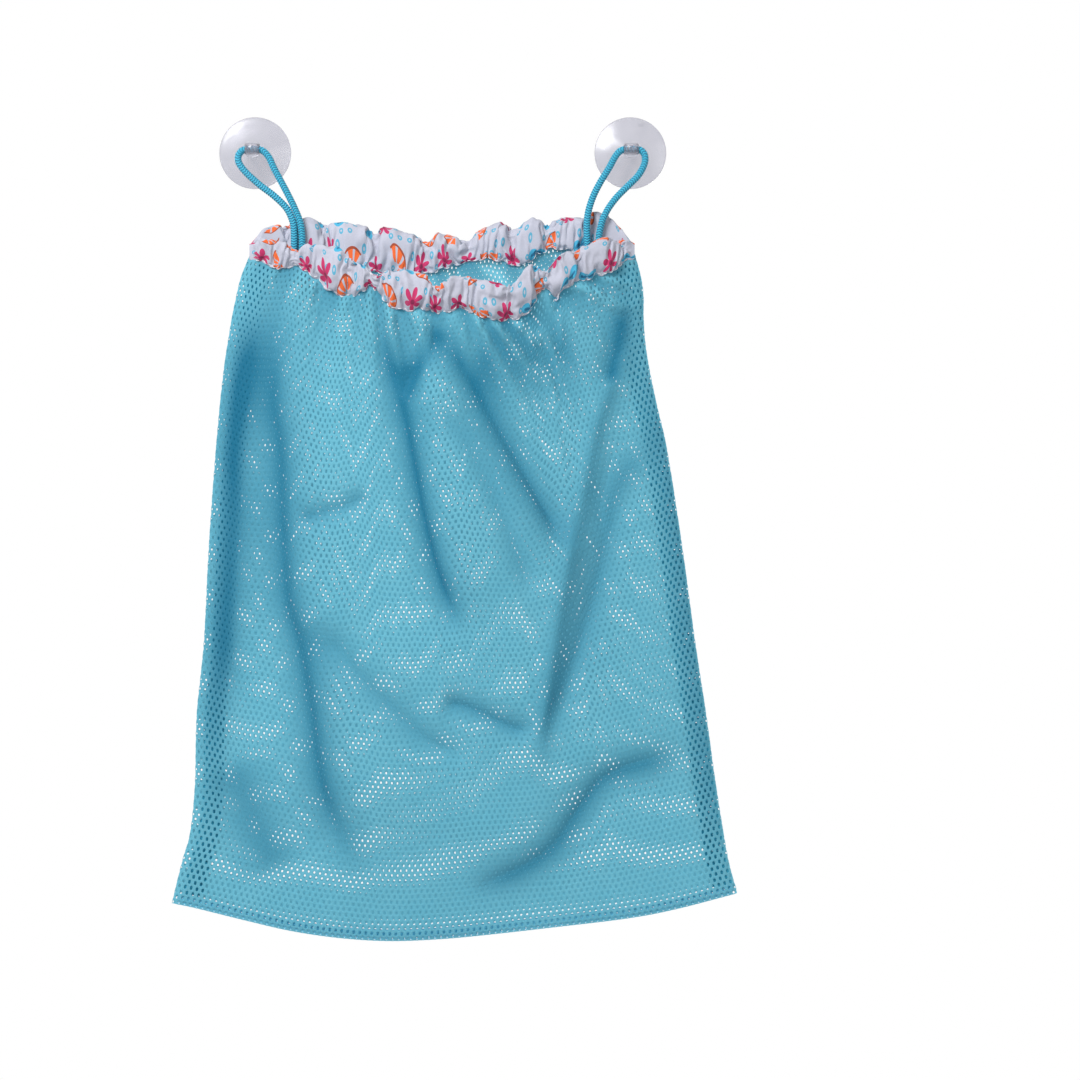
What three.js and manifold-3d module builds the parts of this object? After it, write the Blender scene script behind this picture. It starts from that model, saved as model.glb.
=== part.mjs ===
// Hanging net bag for bath toys: two suction cups on the wall, a cord loop through the head of
// each, and a net bag with a gathered, elasticated collar.
// Millimetres, +Z up. The wall is the plane y = 0 and the bag hangs on its -Y side.
// The origin is on the wall, midway between the two cups.
import * as THREE from 'three';
import { mergeVertices } from 'three/addons/utils/BufferGeometryUtils.js';
import Module from 'manifold-3d';

const wasm = await Module();
wasm.setup();

// Suction cups
const CUP_SPACING = 235;
const CUP_DIAMETER = 45;
const CUP_RIM_WIDTH = 3;
const CUP_RIM_THICKNESS = 1.2;
const CUP_HOLLOW_DEPTH = 4;
const CUP_DISH_HEIGHT = 9.5;
const CUP_NECK_DIAMETER = 9;
const CUP_HEAD_DIAMETER = 11;
const CUP_HEAD_LENGTH = 10.4;
const CUP_NUB_DIAMETER = 3.6;
const LEFT_NUB_ANGLE = -0.25 * Math.PI;
const RIGHT_NUB_ANGLE = 0.39 * Math.PI;
const CUP_SLOPE_POWER = 1.3;
const CUP_SEGMENTS = 32;
const CUP_HEAD_STEPS = 7;
const BALL_SEGMENTS = 12;
const BALL_RINGS = 8;
const HOLLOW_STATIONS = [0, 0.35, 0.7, 1];
const SLOPE_STATIONS = [0.2, 0.45, 0.7, 0.88, 1];
const EYE_STATIONS = [-1, -0.6, -0.3, 0, 0.3, 0.6, 1];
const EYE_DEPTH = 17;
const EYE_CLEARANCE = 0.3;
const EYE_MOUTH_FLARE = 0.8;

// Cord loops: points of each centreline from the eye of its cup, as [x, z]
const CORD_DIAMETER = 4.4;
const CORD_END_DIAMETER = 4.9;
const CORD_SIDES = 10;
const CORD_STEP = 4;
const TACK_CLEARANCE = 0.3;
const LEFT_LOOP = [
  [25.8, -64], [25.8, -58], [25.5, -51], [24.2, -44.5], [20.3, -36.6], [13, -29], [4, -21.8],
  [-4, -14.3], [-8.2, -8.6], [-8.6, -4.2], [-6.4, -1], [-3, 0], [0, 0], [3, 0], [6.8, -1.2],
  [10.3, -5], [13.3, -11.5], [17.3, -19], [21.8, -27.5], [26.2, -36.5], [29.6, -45], [30.7, -52],
  [30.9, -58], [30.9, -64],
];
const RIGHT_LOOP = [
  [-26.9, -64], [-27.2, -58], [-27.6, -51], [-27.4, -44], [-26.2, -37], [-23.5, -29], [-19.2, -20.5],
  [-14, -12], [-9.9, -4.6], [-6.8, -1.1], [-3, 0], [0, 0], [3, 0], [6.5, -1.1], [8.5, -4.6],
  [7.9, -9.8], [4.2, -16.4], [-1.9, -22.6], [-8.7, -29.4], [-14, -36.4], [-17.6, -43.5],
  [-19.6, -51], [-20.3, -58], [-20.4, -64],
];

// Tacks that hold the cord tails in the collar seam
const TACK_HEIGHT = 7;
const TACK_SIDE_MARGIN = 0.8;
const TACK_LEVEL = 0.98;
const TACK_REACH = 0.03;

// Gathered collar: centreline points as [x, bow away from the hanging plane, z]
const COLLAR_HEIGHT = 22;
const COLLAR_PUFF = 8;
const COLLAR_END_HEIGHT = 14;
const COLLAR_END_THICKNESS = 5;
const GATHER_PITCH = 26;
const GATHER_DRAW = 7;
const GATHER_FLATTENING = 3;
const GATHER_LIFT = 1.5;
const RINGS_PER_GATHER = 5;
const COLLAR_SIDES = 10;
const BACK_COLLAR = [
  [-119, 0, -62], [-108, 2.4, -56.5], [-90, 4.6, -54], [-45, 5.8, -58], [0, 6.2, -63.5],
  [45, 5.8, -58], [92, 4.6, -52.5], [109, 2.4, -55.5], [119.5, 0, -61],
];
const FRONT_COLLAR = [
  [-119, 0, -64], [-108, 3, -65.5], [-88, 7.4, -70], [-62, 14, -79.5], [-28, 22, -90.5],
  [10, 26, -96.5], [40, 24, -97], [64, 16, -86], [88, 8.4, -73], [108, 3, -67], [119.5, 0, -63],
];

// Elastic in the collar's tunnel
const ELASTIC_WIDTH = 8;
const ELASTIC_THICKNESS = 0.8;
const TUNNEL_CLEARANCE = 0.3;
const TUNNEL_OVERRUN = 1;

// Net panels, sewn at both sides and at the bottom, with a plain grid of openings. The margin is a
// share of the panel, and the opening a share of the grid's pitch
const NET_THICKNESS = 1.2;
const NET_OPENINGS_ACROSS = 9;
const NET_OPENINGS_DOWN = 11;
const NET_OPENING = 0.58;
const NET_MARGIN = 0.04;
const BAG_WIDTH = 350.6;
const BAG_DROP = 464.3;
const BAG_SHIFT = 8;
const HEM_TILT = 6.2;
const HEM_SAG = 26;
const HEM_SAG_LEAN = 0.8;
const LEFT_EDGE_WAVE = 5.5;
const RIGHT_EDGE_WAVE = 1.5;
const FRONT_BELLY = 9;
const BACK_BELLY = 3;
const COLLAR_SEAM_GAP = 0.6;

// Main folds of the front panel, as ridges (+) and hollows (-) along straight lines in x and z
const FRONT_FOLDS = [
  { from: [-100, -150], to: [-72, -390], width: 13, depth: -5 },
  { from: [-30, -150], to: [-6, -275], width: 11, depth: -4 },
  { from: [24, -150], to: [80, -258], width: 13, depth: 5 },
  { from: [120, -180], to: [62, -370], width: 12, depth: -4 },
  { from: [146, -394], to: [20, -440], width: 13, depth: 4 },
  { from: [-122, -360], to: [-92, -432], width: 12, depth: 3 },
];
const FOLD_FADE = 40;

// Turned seams inside the bag
const SEAM_WIDTH = 10;
const SEAM_THICKNESS = 1.4;
const SEAM_GAP = 0.3;
const SEAM_STEPS = 22;
const SEAM_CORNER_GAP = 2;

// Tolerances of the calculation
const MERGE_DISTANCE = 1e-4;
const NORMAL_STEP = 1e-3;

const hangPlane = -EYE_DEPTH;
const up = new THREE.Vector3(0, 0, 1);
const outward = new THREE.Vector3(0, -1, 0);
const leftward = new THREE.Vector3(-1, 0, 0);
const hemLeft = [BAG_SHIFT - BAG_WIDTH / 2, -BAG_DROP - HEM_TILT / 2];
const hemRight = [BAG_SHIFT + BAG_WIDTH / 2, -BAG_DROP + HEM_TILT / 2];
const eyeCentre = (side) => new THREE.Vector3(side * CUP_SPACING / 2, hangPlane, 0);

// Materials
const clearPvc = new THREE.MeshStandardMaterial({
  color: 0xe4e4ee, roughness: 0.12, metalness: 0, transparent: true, opacity: 0.6,
});
const turquoiseCord = new THREE.MeshStandardMaterial({ color: 0x21a0c4, roughness: 0.65, metalness: 0 });
const whiteCotton = new THREE.MeshStandardMaterial({ color: 0xe9ecf4, roughness: 0.75, metalness: 0 });
const whiteElastic = new THREE.MeshStandardMaterial({ color: 0xdedede, roughness: 0.85, metalness: 0 });
const turquoiseNet = new THREE.MeshStandardMaterial({ color: 0x4fb0cc, roughness: 0.6, metalness: 0 });
const turquoiseSeam = new THREE.MeshStandardMaterial({ color: 0x3a9fbe, roughness: 0.65, metalness: 0 });

// Solids for cutting and joining

function toSolid(geometry) {
  const bare = geometry.clone();
  bare.deleteAttribute('normal');
  bare.deleteAttribute('uv');
  const merged = mergeVertices(bare, MERGE_DISTANCE);
  const corners = Array.from(merged.index.array);
  const kept = [];
  for (let t = 0; t < corners.length; t += 3) {
    const [a, b, c] = corners.slice(t, t + 3);
    if (a !== b && b !== c && c !== a) {
      kept.push(a, b, c);
    }
  }
  return new wasm.Manifold(new wasm.Mesh({
    numProp: 3,
    vertProperties: Float32Array.from(merged.attributes.position.array),
    triVerts: Uint32Array.from(kept),
  }));
}

function toGeometry(solid) {
  const mesh = solid.getMesh();
  const geometry = new THREE.BufferGeometry();
  geometry.setAttribute('position', new THREE.BufferAttribute(mesh.vertProperties, 3));
  geometry.setIndex(new THREE.BufferAttribute(mesh.triVerts, 1));
  geometry.computeVertexNormals();
  return geometry;
}

function meshGeometry(points, corners) {
  const geometry = new THREE.BufferGeometry();
  geometry.setFromPoints(points);
  geometry.setIndex(corners);
  geometry.computeVertexNormals();
  return geometry;
}

// A closed solid through a row of rings with the same number of points, with flat ends
function loft(rings) {
  const sides = rings[0].length;
  const corners = [];
  for (let r = 0; r + 1 < rings.length; r += 1) {
    for (let k = 0; k < sides; k += 1) {
      const next = (k + 1) % sides;
      const a = r * sides + k;
      const b = (r + 1) * sides + k;
      const c = (r + 1) * sides + next;
      const d = r * sides + next;
      corners.push(a, b, c, a, c, d);
    }
  }
  const last = (rings.length - 1) * sides;
  for (let k = 1; k + 1 < sides; k += 1) {
    corners.push(0, k, k + 1, last, last + k + 1, last + k);
  }
  return meshGeometry(rings.flat(), corners);
}

// Rings of a swept section, as an oval or a rectangle with given half sizes in two directions
function ovalRing(centre, across, acrossHalf, along, alongHalf, sides) {
  return Array.from({ length: sides }, (_, k) => {
    const angle = 2 * Math.PI * k / sides;
    return centre.clone()
      .addScaledVector(across, acrossHalf * Math.cos(angle))
      .addScaledVector(along, alongHalf * Math.sin(angle));
  });
}

function rectangleRing(centre, across, acrossHalf, along, alongHalf) {
  const signs = [[1, -1], [1, 1], [-1, 1], [-1, -1]];
  return signs.map(([a, b]) => centre.clone()
    .addScaledVector(across, a * acrossHalf)
    .addScaledVector(along, b * alongHalf));
}

// Suction cup: a dish with a flat sealing rim, a neck and a ball head with a cross hole

function cupProfile() {
  const rim = CUP_DIAMETER / 2;
  const seal = rim - CUP_RIM_WIDTH;
  const neck = CUP_NECK_DIAMETER / 2;
  const head = CUP_HEAD_DIAMETER / 2;
  const profile = [];
  for (const share of HOLLOW_STATIONS) {
    profile.push([seal * share, CUP_HOLLOW_DEPTH * (1 - share * share)]);
  }
  profile.push([rim, 0], [rim, CUP_RIM_THICKNESS]);
  for (const share of SLOPE_STATIONS) {
    const rise = (CUP_DISH_HEIGHT - CUP_RIM_THICKNESS) * share ** CUP_SLOPE_POWER;
    profile.push([rim + (neck - rim) * share, CUP_RIM_THICKNESS + rise]);
  }
  const headStart = -Math.acos(neck / head);
  for (let k = 0; k <= CUP_HEAD_STEPS; k += 1) {
    const angle = headStart + (Math.PI / 2 - headStart) * k / CUP_HEAD_STEPS;
    const radius = k === CUP_HEAD_STEPS ? 0 : head * Math.cos(angle);
    profile.push([radius, EYE_DEPTH + CUP_HEAD_LENGTH / 2 * Math.sin(angle)]);
  }
  return profile.map(([radius, depth]) => new THREE.Vector2(radius, -depth)).reverse();
}

function eyeBore() {
  const head = CUP_HEAD_DIAMETER / 2;
  const reach = head + CORD_DIAMETER;
  const narrow = CORD_DIAMETER / 2 + EYE_CLEARANCE;
  const profile = [new THREE.Vector2(0, -reach)];
  for (const share of EYE_STATIONS) {
    const along = reach * share;
    profile.push(new THREE.Vector2(narrow + EYE_MOUTH_FLARE * (along / head) ** 2, along));
  }
  profile.push(new THREE.Vector2(0, reach));
  return new THREE.LatheGeometry(profile, CORD_SIDES * 2).rotateZ(Math.PI / 2);
}

function suctionCup(side, nubAngle) {
  const body = new THREE.LatheGeometry(cupProfile(), CUP_SEGMENTS);
  const bore = eyeBore().translate(0, hangPlane, 0);
  const nubRadius = (CUP_DIAMETER - CUP_RIM_WIDTH * 2) / 2;
  const nub = new THREE.SphereGeometry(CUP_NUB_DIAMETER / 2, BALL_SEGMENTS, BALL_RINGS).translate(
    nubRadius * Math.cos(nubAngle), -CUP_RIM_THICKNESS, nubRadius * Math.sin(nubAngle),
  );
  const wallSide = new THREE.BoxGeometry(CUP_DIAMETER, CUP_DIAMETER, CUP_DIAMETER)
    .translate(0, CUP_DIAMETER / 2 - CUP_RIM_THICKNESS / 2, 0);
  const nubCap = toSolid(nub).subtract(toSolid(wallSide));
  const cup = toSolid(body).subtract(toSolid(bore)).add(nubCap);
  return toGeometry(cup).translate(side * CUP_SPACING / 2, 0, 0);
}

// Cord loop: a round cord through the eye, with sealed round ends that sit on the tack

function loopPoints(side, route) {
  return route.map(([x, z]) => eyeCentre(side).add(new THREE.Vector3(x, 0, z)));
}

function cordLoop(side, route) {
  const points = loopPoints(side, route);
  const path = new THREE.CatmullRomCurve3(points, false, 'centripetal');
  const radius = CORD_DIAMETER / 2;
  const section = Array.from({ length: CORD_SIDES }, (_, k) => {
    const angle = 2 * Math.PI * k / CORD_SIDES;
    return new THREE.Vector2(radius * Math.cos(angle), radius * Math.sin(angle));
  });
  const tube = new THREE.ExtrudeGeometry(new THREE.Shape(section), {
    extrudePath: path,
    steps: Math.round(path.getLength() / CORD_STEP),
  });
  let cord = toSolid(tube);
  for (const end of [points[0], points.at(-1)]) {
    const ball = new THREE.SphereGeometry(CORD_END_DIAMETER / 2, CORD_SIDES, BALL_RINGS);
    ball.rotateX(Math.PI / 2).translate(end.x, end.y, end.z);
    cord = cord.add(toSolid(ball));
  }
  return toGeometry(cord);
}

// Collar: a gathered tube of cotton with a flat tunnel for the elastic

function collarPath(route, towardsFront) {
  const endOffset = COLLAR_END_THICKNESS / 2 + SEAM_GAP;
  const points = route.map(([x, bow, z]) => (
    new THREE.Vector3(x, hangPlane - towardsFront * (endOffset + bow), z)
  ));
  return new THREE.CatmullRomCurve3(points, false, 'centripetal');
}

const backPath = collarPath(BACK_COLLAR, -1);
const frontPath = collarPath(FRONT_COLLAR, 1);
const gatherCount = (path) => Math.round(path.getLength() / GATHER_PITCH);

function collarFrame(path, share) {
  const tangent = path.getTangentAt(share);
  const rise = up.clone().addScaledVector(tangent, -up.dot(tangent)).normalize();
  const across = tangent.clone().cross(rise);
  return { centre: path.getPointAt(share), rise, across };
}

// 0 at the collar's two ends, rising to 1 over one collar height
function awayFromEnds(path, share) {
  return Math.min(1, Math.min(share, 1 - share) * path.getLength() / COLLAR_HEIGHT);
}

// Heights of the collar's two edges from its centreline, and its thickness, with the gathers:
// each draws the free upper edge down, and lifts the sewn lower edge a little
function collarSize(path, share) {
  const full = awayFromEnds(path, share);
  const pinch = full * (0.5 + 0.5 * Math.cos(2 * Math.PI * gatherCount(path) * share)) ** 2;
  const half = THREE.MathUtils.lerp(COLLAR_END_HEIGHT, COLLAR_HEIGHT, full) / 2;
  return {
    upper: half - (GATHER_DRAW - GATHER_LIFT) * pinch,
    lower: half - GATHER_LIFT * pinch,
    thickness: THREE.MathUtils.lerp(COLLAR_END_THICKNESS, COLLAR_PUFF, full) - GATHER_FLATTENING * pinch,
  };
}

function sweptBand(path, ringCount, width, thickness, overrun) {
  const rings = [];
  for (let r = 0; r <= ringCount; r += 1) {
    const { centre, rise, across } = collarFrame(path, r / ringCount);
    const tangent = path.getTangentAt(r / ringCount);
    const past = r === 0 ? -overrun : r === ringCount ? overrun : 0;
    centre.addScaledVector(tangent, past);
    rings.push(rectangleRing(centre, across, thickness / 2, rise, width / 2));
  }
  return loft(rings);
}

function collar(path) {
  const ringCount = gatherCount(path) * RINGS_PER_GATHER;
  const rings = [];
  for (let r = 0; r <= ringCount; r += 1) {
    const { centre, rise, across } = collarFrame(path, r / ringCount);
    const { upper, lower, thickness } = collarSize(path, r / ringCount);
    centre.addScaledVector(rise, (upper - lower) / 2);
    rings.push(ovalRing(centre, across, thickness / 2, rise, (upper + lower) / 2, COLLAR_SIDES));
  }
  const tunnelWidth = ELASTIC_WIDTH + 2 * TUNNEL_CLEARANCE;
  const tunnelThickness = ELASTIC_THICKNESS + 2 * TUNNEL_CLEARANCE;
  const tunnel = sweptBand(path, ringCount, tunnelWidth, tunnelThickness, TUNNEL_OVERRUN);
  return toGeometry(toSolid(loft(rings)).subtract(toSolid(tunnel)));
}

function elastic(path) {
  const ringCount = gatherCount(path) * RINGS_PER_GATHER;
  return sweptBand(path, ringCount, ELASTIC_WIDTH, ELASTIC_THICKNESS, 0);
}

// Net panels: patches between the collar, the two side seams and the hem

const panelOffset = SEAM_THICKNESS / 2 + SEAM_GAP + NET_THICKNESS / 2;

function hemPoint(share, offset) {
  const x = THREE.MathUtils.lerp(hemLeft[0], hemRight[0], share);
  const level = THREE.MathUtils.lerp(hemLeft[1], hemRight[1], share);
  const sag = HEM_SAG * Math.sin(Math.PI * share ** HEM_SAG_LEAN);
  return new THREE.Vector3(x, hangPlane + offset, level - sag);
}

function collarEdge(path, share) {
  const { centre, rise } = collarFrame(path, share);
  const height = THREE.MathUtils.lerp(COLLAR_END_HEIGHT, COLLAR_HEIGHT, awayFromEnds(path, share));
  return centre.addScaledVector(rise, -height / 2 - COLLAR_SEAM_GAP);
}

function sidePoint(path, end, share, offset) {
  const low = hemPoint(end, offset);
  const high = collarEdge(path, end);
  const wave = end === 0 ? LEFT_EDGE_WAVE : -RIGHT_EDGE_WAVE;
  const point = low.lerp(high, share);
  point.x += wave * Math.sin(2 * Math.PI * share);
  return point;
}

function foldDepth(x, z) {
  let depth = 0;
  for (const fold of FRONT_FOLDS) {
    const along = new THREE.Vector2(fold.to[0] - fold.from[0], fold.to[1] - fold.from[1]);
    const length = along.length();
    const fromStart = new THREE.Vector2(x - fold.from[0], z - fold.from[1]);
    const run = fromStart.dot(along) / length;
    const aside = fromStart.cross(along) / length;
    const past = Math.max(0, -run, run - length);
    depth += fold.depth * Math.exp(-((aside / fold.width) ** 2) - (past / FOLD_FADE) ** 2);
  }
  return depth;
}

function panelPoint(path, towardsFront, u, v) {
  const offset = -towardsFront * panelOffset;
  const hem = hemPoint(u, offset).multiplyScalar(1 - v);
  const top = collarEdge(path, u).multiplyScalar(v);
  const left = sidePoint(path, 0, v, offset).multiplyScalar(1 - u);
  const right = sidePoint(path, 1, v, offset).multiplyScalar(u);
  const lowLine = hemPoint(0, offset).lerp(hemPoint(1, offset), u).multiplyScalar(1 - v);
  const highLine = collarEdge(path, 0).lerp(collarEdge(path, 1), u).multiplyScalar(v);
  const point = hem.add(top).add(left).add(right).sub(lowLine).sub(highLine);
  const middle = Math.sin(Math.PI * u) * Math.sin(Math.PI * v);
  const belly = towardsFront > 0 ? FRONT_BELLY : BACK_BELLY;
  const folds = towardsFront > 0 ? foldDepth(point.x, point.z) * Math.sqrt(middle) : 0;
  point.y -= towardsFront * (belly * middle + folds);
  return point;
}

// Stations over a panel from 0 to 1: the margin, then an opening and a bar by turns
function netStations(openings) {
  const pitch = (1 - 2 * NET_MARGIN) / openings;
  const stations = [0];
  for (let k = 0; k < openings; k += 1) {
    const middle = NET_MARGIN + pitch * (k + 0.5);
    stations.push(middle - pitch * NET_OPENING / 2, middle + pitch * NET_OPENING / 2);
  }
  return [...stations, 1];
}

function netPanel(path, towardsFront) {
  const across = netStations(NET_OPENINGS_ACROSS);
  const down = netStations(NET_OPENINGS_DOWN);
  const front = [];
  const back = [];
  for (const u of across) {
    for (const v of down) {
      const at = (du, dv) => panelPoint(
        path, towardsFront, THREE.MathUtils.clamp(u + du, 0, 1), THREE.MathUtils.clamp(v + dv, 0, 1),
      );
      const alongU = at(NORMAL_STEP, 0).sub(at(-NORMAL_STEP, 0));
      const alongV = at(0, NORMAL_STEP).sub(at(0, -NORMAL_STEP));
      const normal = alongU.cross(alongV).normalize();
      front.push(at(0, 0).addScaledVector(normal, NET_THICKNESS / 2));
      back.push(at(0, 0).addScaledVector(normal, -NET_THICKNESS / 2));
    }
  }
  const columns = across.length - 1;
  const rows = down.length - 1;
  const f = (i, j) => i * down.length + j;
  const b = (i, j) => front.length + f(i, j);
  const isCloth = (i, j) => (
    i >= 0 && j >= 0 && i < columns && j < rows && (i % 2 === 0 || j % 2 === 0)
  );
  const corners = [];
  for (let i = 0; i < columns; i += 1) {
    for (let j = 0; j < rows; j += 1) {
      if (!isCloth(i, j)) {
        continue;
      }
      const [i1, j1] = [i + 1, j + 1];
      corners.push(f(i, j), f(i1, j), f(i1, j1), f(i, j), f(i1, j1), f(i, j1));
      corners.push(b(i, j), b(i1, j1), b(i1, j), b(i, j), b(i, j1), b(i1, j1));
      if (!isCloth(i, j - 1)) {
        corners.push(f(i, j), b(i, j), b(i1, j), f(i, j), b(i1, j), f(i1, j));
      }
      if (!isCloth(i, j1)) {
        corners.push(f(i, j1), b(i1, j1), b(i, j1), f(i, j1), f(i1, j1), b(i1, j1));
      }
      if (!isCloth(i - 1, j)) {
        corners.push(f(i, j), f(i, j1), b(i, j1), f(i, j), b(i, j1), b(i, j));
      }
      if (!isCloth(i1, j)) {
        corners.push(f(i1, j), b(i1, j1), f(i1, j1), f(i1, j), b(i1, j), b(i1, j1));
      }
    }
  }
  return meshGeometry([...front, ...back], corners);
}

// Turned seam allowances between the two panels

function sideSeam(end) {
  const inward = end === 0 ? -1 : 1;
  const height = collarEdge(frontPath, end).z - hemPoint(end, 0).z;
  const first = (SEAM_WIDTH + SEAM_CORNER_GAP) / height;
  const rings = [];
  for (let r = 0; r <= SEAM_STEPS; r += 1) {
    const share = first + (1 - 2 * first) * r / SEAM_STEPS;
    const centre = sidePoint(frontPath, end, share, 0).setY(hangPlane);
    centre.addScaledVector(leftward, inward * SEAM_WIDTH / 2);
    rings.push(rectangleRing(centre, outward, SEAM_THICKNESS / 2, leftward, SEAM_WIDTH / 2));
  }
  return loft(rings);
}

function bottomSeam() {
  const inset = SEAM_CORNER_GAP / BAG_WIDTH;
  const rings = [];
  for (let r = 0; r <= SEAM_STEPS; r += 1) {
    const share = inset + (1 - 2 * inset) * r / SEAM_STEPS;
    const centre = hemPoint(share, 0).addScaledVector(up, SEAM_WIDTH / 2);
    rings.push(rectangleRing(centre, outward, SEAM_THICKNESS / 2, up, SEAM_WIDTH / 2));
  }
  return loft(rings);
}

// Tack: the two cord tails sewn flat to the top of the back panel, under the cord ends

function cordTack(side, route) {
  const points = loopPoints(side, route);
  const first = points[0];
  const last = points.at(-1);
  const centre = first.clone().lerp(last, 0.5);
  const width = Math.abs(last.x - first.x) + CORD_DIAMETER + 2 * TACK_SIDE_MARGIN;
  const top = centre.z - CORD_END_DIAMETER / 2 - TACK_CLEARANCE;
  const collarStart = backPath.points[0].x;
  const share = (centre.x - collarStart) / (backPath.points.at(-1).x - collarStart);
  const panelFaces = [-TACK_REACH, 0, TACK_REACH].map((step) => (
    panelPoint(backPath, -1, share + step, TACK_LEVEL).y
  ));
  const panelFace = Math.min(...panelFaces);
  const backFace = panelFace - NET_THICKNESS / 2 - SEAM_GAP;
  const frontFace = hangPlane - CORD_DIAMETER / 2;
  const shape = new THREE.BoxGeometry(width, backFace - frontFace, TACK_HEIGHT);
  return shape.translate(centre.x, (backFace + frontFace) / 2, top - TACK_HEIGHT / 2);
}

function part(name, geometry, material) {
  const mesh = new THREE.Mesh(geometry, material);
  mesh.name = name;
  return mesh;
}

const wallCups = new THREE.Group();
wallCups.add(
  part('suction_cup_left', suctionCup(-1, LEFT_NUB_ANGLE), clearPvc),
  part('suction_cup_right', suctionCup(1, RIGHT_NUB_ANGLE), clearPvc),
);

const cordLoops = new THREE.Group();
cordLoops.add(
  part('cord_loop_left', cordLoop(-1, LEFT_LOOP), turquoiseCord),
  part('cord_loop_right', cordLoop(1, RIGHT_LOOP), turquoiseCord),
);

const bag = new THREE.Group();
bag.add(
  part('collar_back', collar(backPath), whiteCotton),
  part('elastic_back', elastic(backPath), whiteElastic),
  part('net_back_panel', netPanel(backPath, -1), turquoiseNet),
  part('net_front_panel', netPanel(frontPath, 1), turquoiseNet),
  part('side_seam_left', sideSeam(0), turquoiseSeam),
  part('side_seam_right', sideSeam(1), turquoiseSeam),
  part('bottom_seam', bottomSeam(), turquoiseSeam),
  part('cord_tack_left', cordTack(-1, LEFT_LOOP), turquoiseCord),
  part('cord_tack_right', cordTack(1, RIGHT_LOOP), turquoiseCord),
);

const frontRim = new THREE.Group();
frontRim.add(
  part('collar_front', collar(frontPath), whiteCotton),
  part('elastic_front', elastic(frontPath), whiteElastic),
);

const organizer = new THREE.Group();
organizer.add(wallCups, cordLoops, bag, frontRim);
export default organizer;
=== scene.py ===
"""Looks of a hanging net bag for bath toys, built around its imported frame. Metres, +Z up."""

import math

import bpy
import numpy as np
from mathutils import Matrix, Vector


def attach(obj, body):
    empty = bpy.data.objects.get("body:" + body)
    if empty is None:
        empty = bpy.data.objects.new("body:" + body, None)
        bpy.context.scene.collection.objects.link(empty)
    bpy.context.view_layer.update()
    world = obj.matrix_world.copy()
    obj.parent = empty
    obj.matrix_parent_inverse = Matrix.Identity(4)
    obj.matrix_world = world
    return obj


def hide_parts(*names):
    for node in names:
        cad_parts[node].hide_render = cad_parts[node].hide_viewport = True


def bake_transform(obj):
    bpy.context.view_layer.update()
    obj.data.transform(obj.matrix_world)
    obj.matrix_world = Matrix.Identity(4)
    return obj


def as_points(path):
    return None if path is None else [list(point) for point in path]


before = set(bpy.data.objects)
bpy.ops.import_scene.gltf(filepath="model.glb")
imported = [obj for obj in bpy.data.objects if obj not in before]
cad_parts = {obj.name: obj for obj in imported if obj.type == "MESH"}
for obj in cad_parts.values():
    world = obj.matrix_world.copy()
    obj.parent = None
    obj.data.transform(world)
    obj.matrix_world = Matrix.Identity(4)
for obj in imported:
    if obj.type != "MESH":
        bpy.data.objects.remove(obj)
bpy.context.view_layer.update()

MM = 0.001

# Camera: the photograph's middle and width at the hanging plane, in millimetres
PHOTO_MIDDLE_X = 60.9
PHOTO_MIDDLE_Z = -242.3
PHOTO_WIDTH = 669.6
CAMERA_LENS = 85
CAMERA_SENSOR = 36

# Main sizes, in millimetres
HANG_PLANE = -17
CUP_SPACING = 235

# Curves and waves: points of a curve, the (turns, start) of the two slow waves that shift a wave's
# crests, how far they shift them, and how much and how often its height swells
CURVE_STEPS = 24
CURVE_SAMPLES = 400
BAND_SAMPLES = 800
WAVE_WANDER = [(0.61, 2.1), (1.37, 1)]
WAVE_SHIFT = 1.6
WAVE_SWELL = 0.35
SWELL_TURNS = 1.9
SWELL_START = 3.7

# Meshes: distances in millimetres, angles in degrees
MERGE_DISTANCE = 0.002
LEAST_EDGE = 0.001
NET_MERGE_DISTANCE = 0.02
ALL_ROUND = 180
CUP_SMOOTH_ANGLE = 35
CORD_SMOOTH_ANGLE = 80
ELASTIC_SMOOTH_ANGLE = 40

# Suction cups
CUP_RIM_RADIUS = 22.5
CUP_SEAL_RADIUS = 19.5
CUP_RIM_THICKNESS = 1.2
CUP_HOLLOW_DEPTH = 4
CUP_DISH_HEIGHT = 9.5
CUP_NECK_RADIUS = 4.5
CUP_HEAD_RADIUS = 5.5
CUP_HEAD_HALF_LENGTH = 5.2
CUP_SLOPE_POWER = 1.3
CUP_TURN_STEPS = 96
CUP_HOLLOW_STEPS = 12
CUP_RIM_STEPS = 7
CUP_SLOPE_STEPS = 18
CUP_SLOPE_START = 0.06
CUP_HEAD_STEPS = 18
CUP_EYE_STEPS = 25
CUP_EYE_RADIUS = 2.5
CUP_EYE_FLARE = 0.8
CUP_NUB_RADIUS = 1.8
CUP_NUB_DEPTH = 2.2 * CUP_RIM_THICKNESS
CUP_NUB_ANGLES = {"left": -0.25 * math.pi, "right": 0.39 * math.pi}

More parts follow.
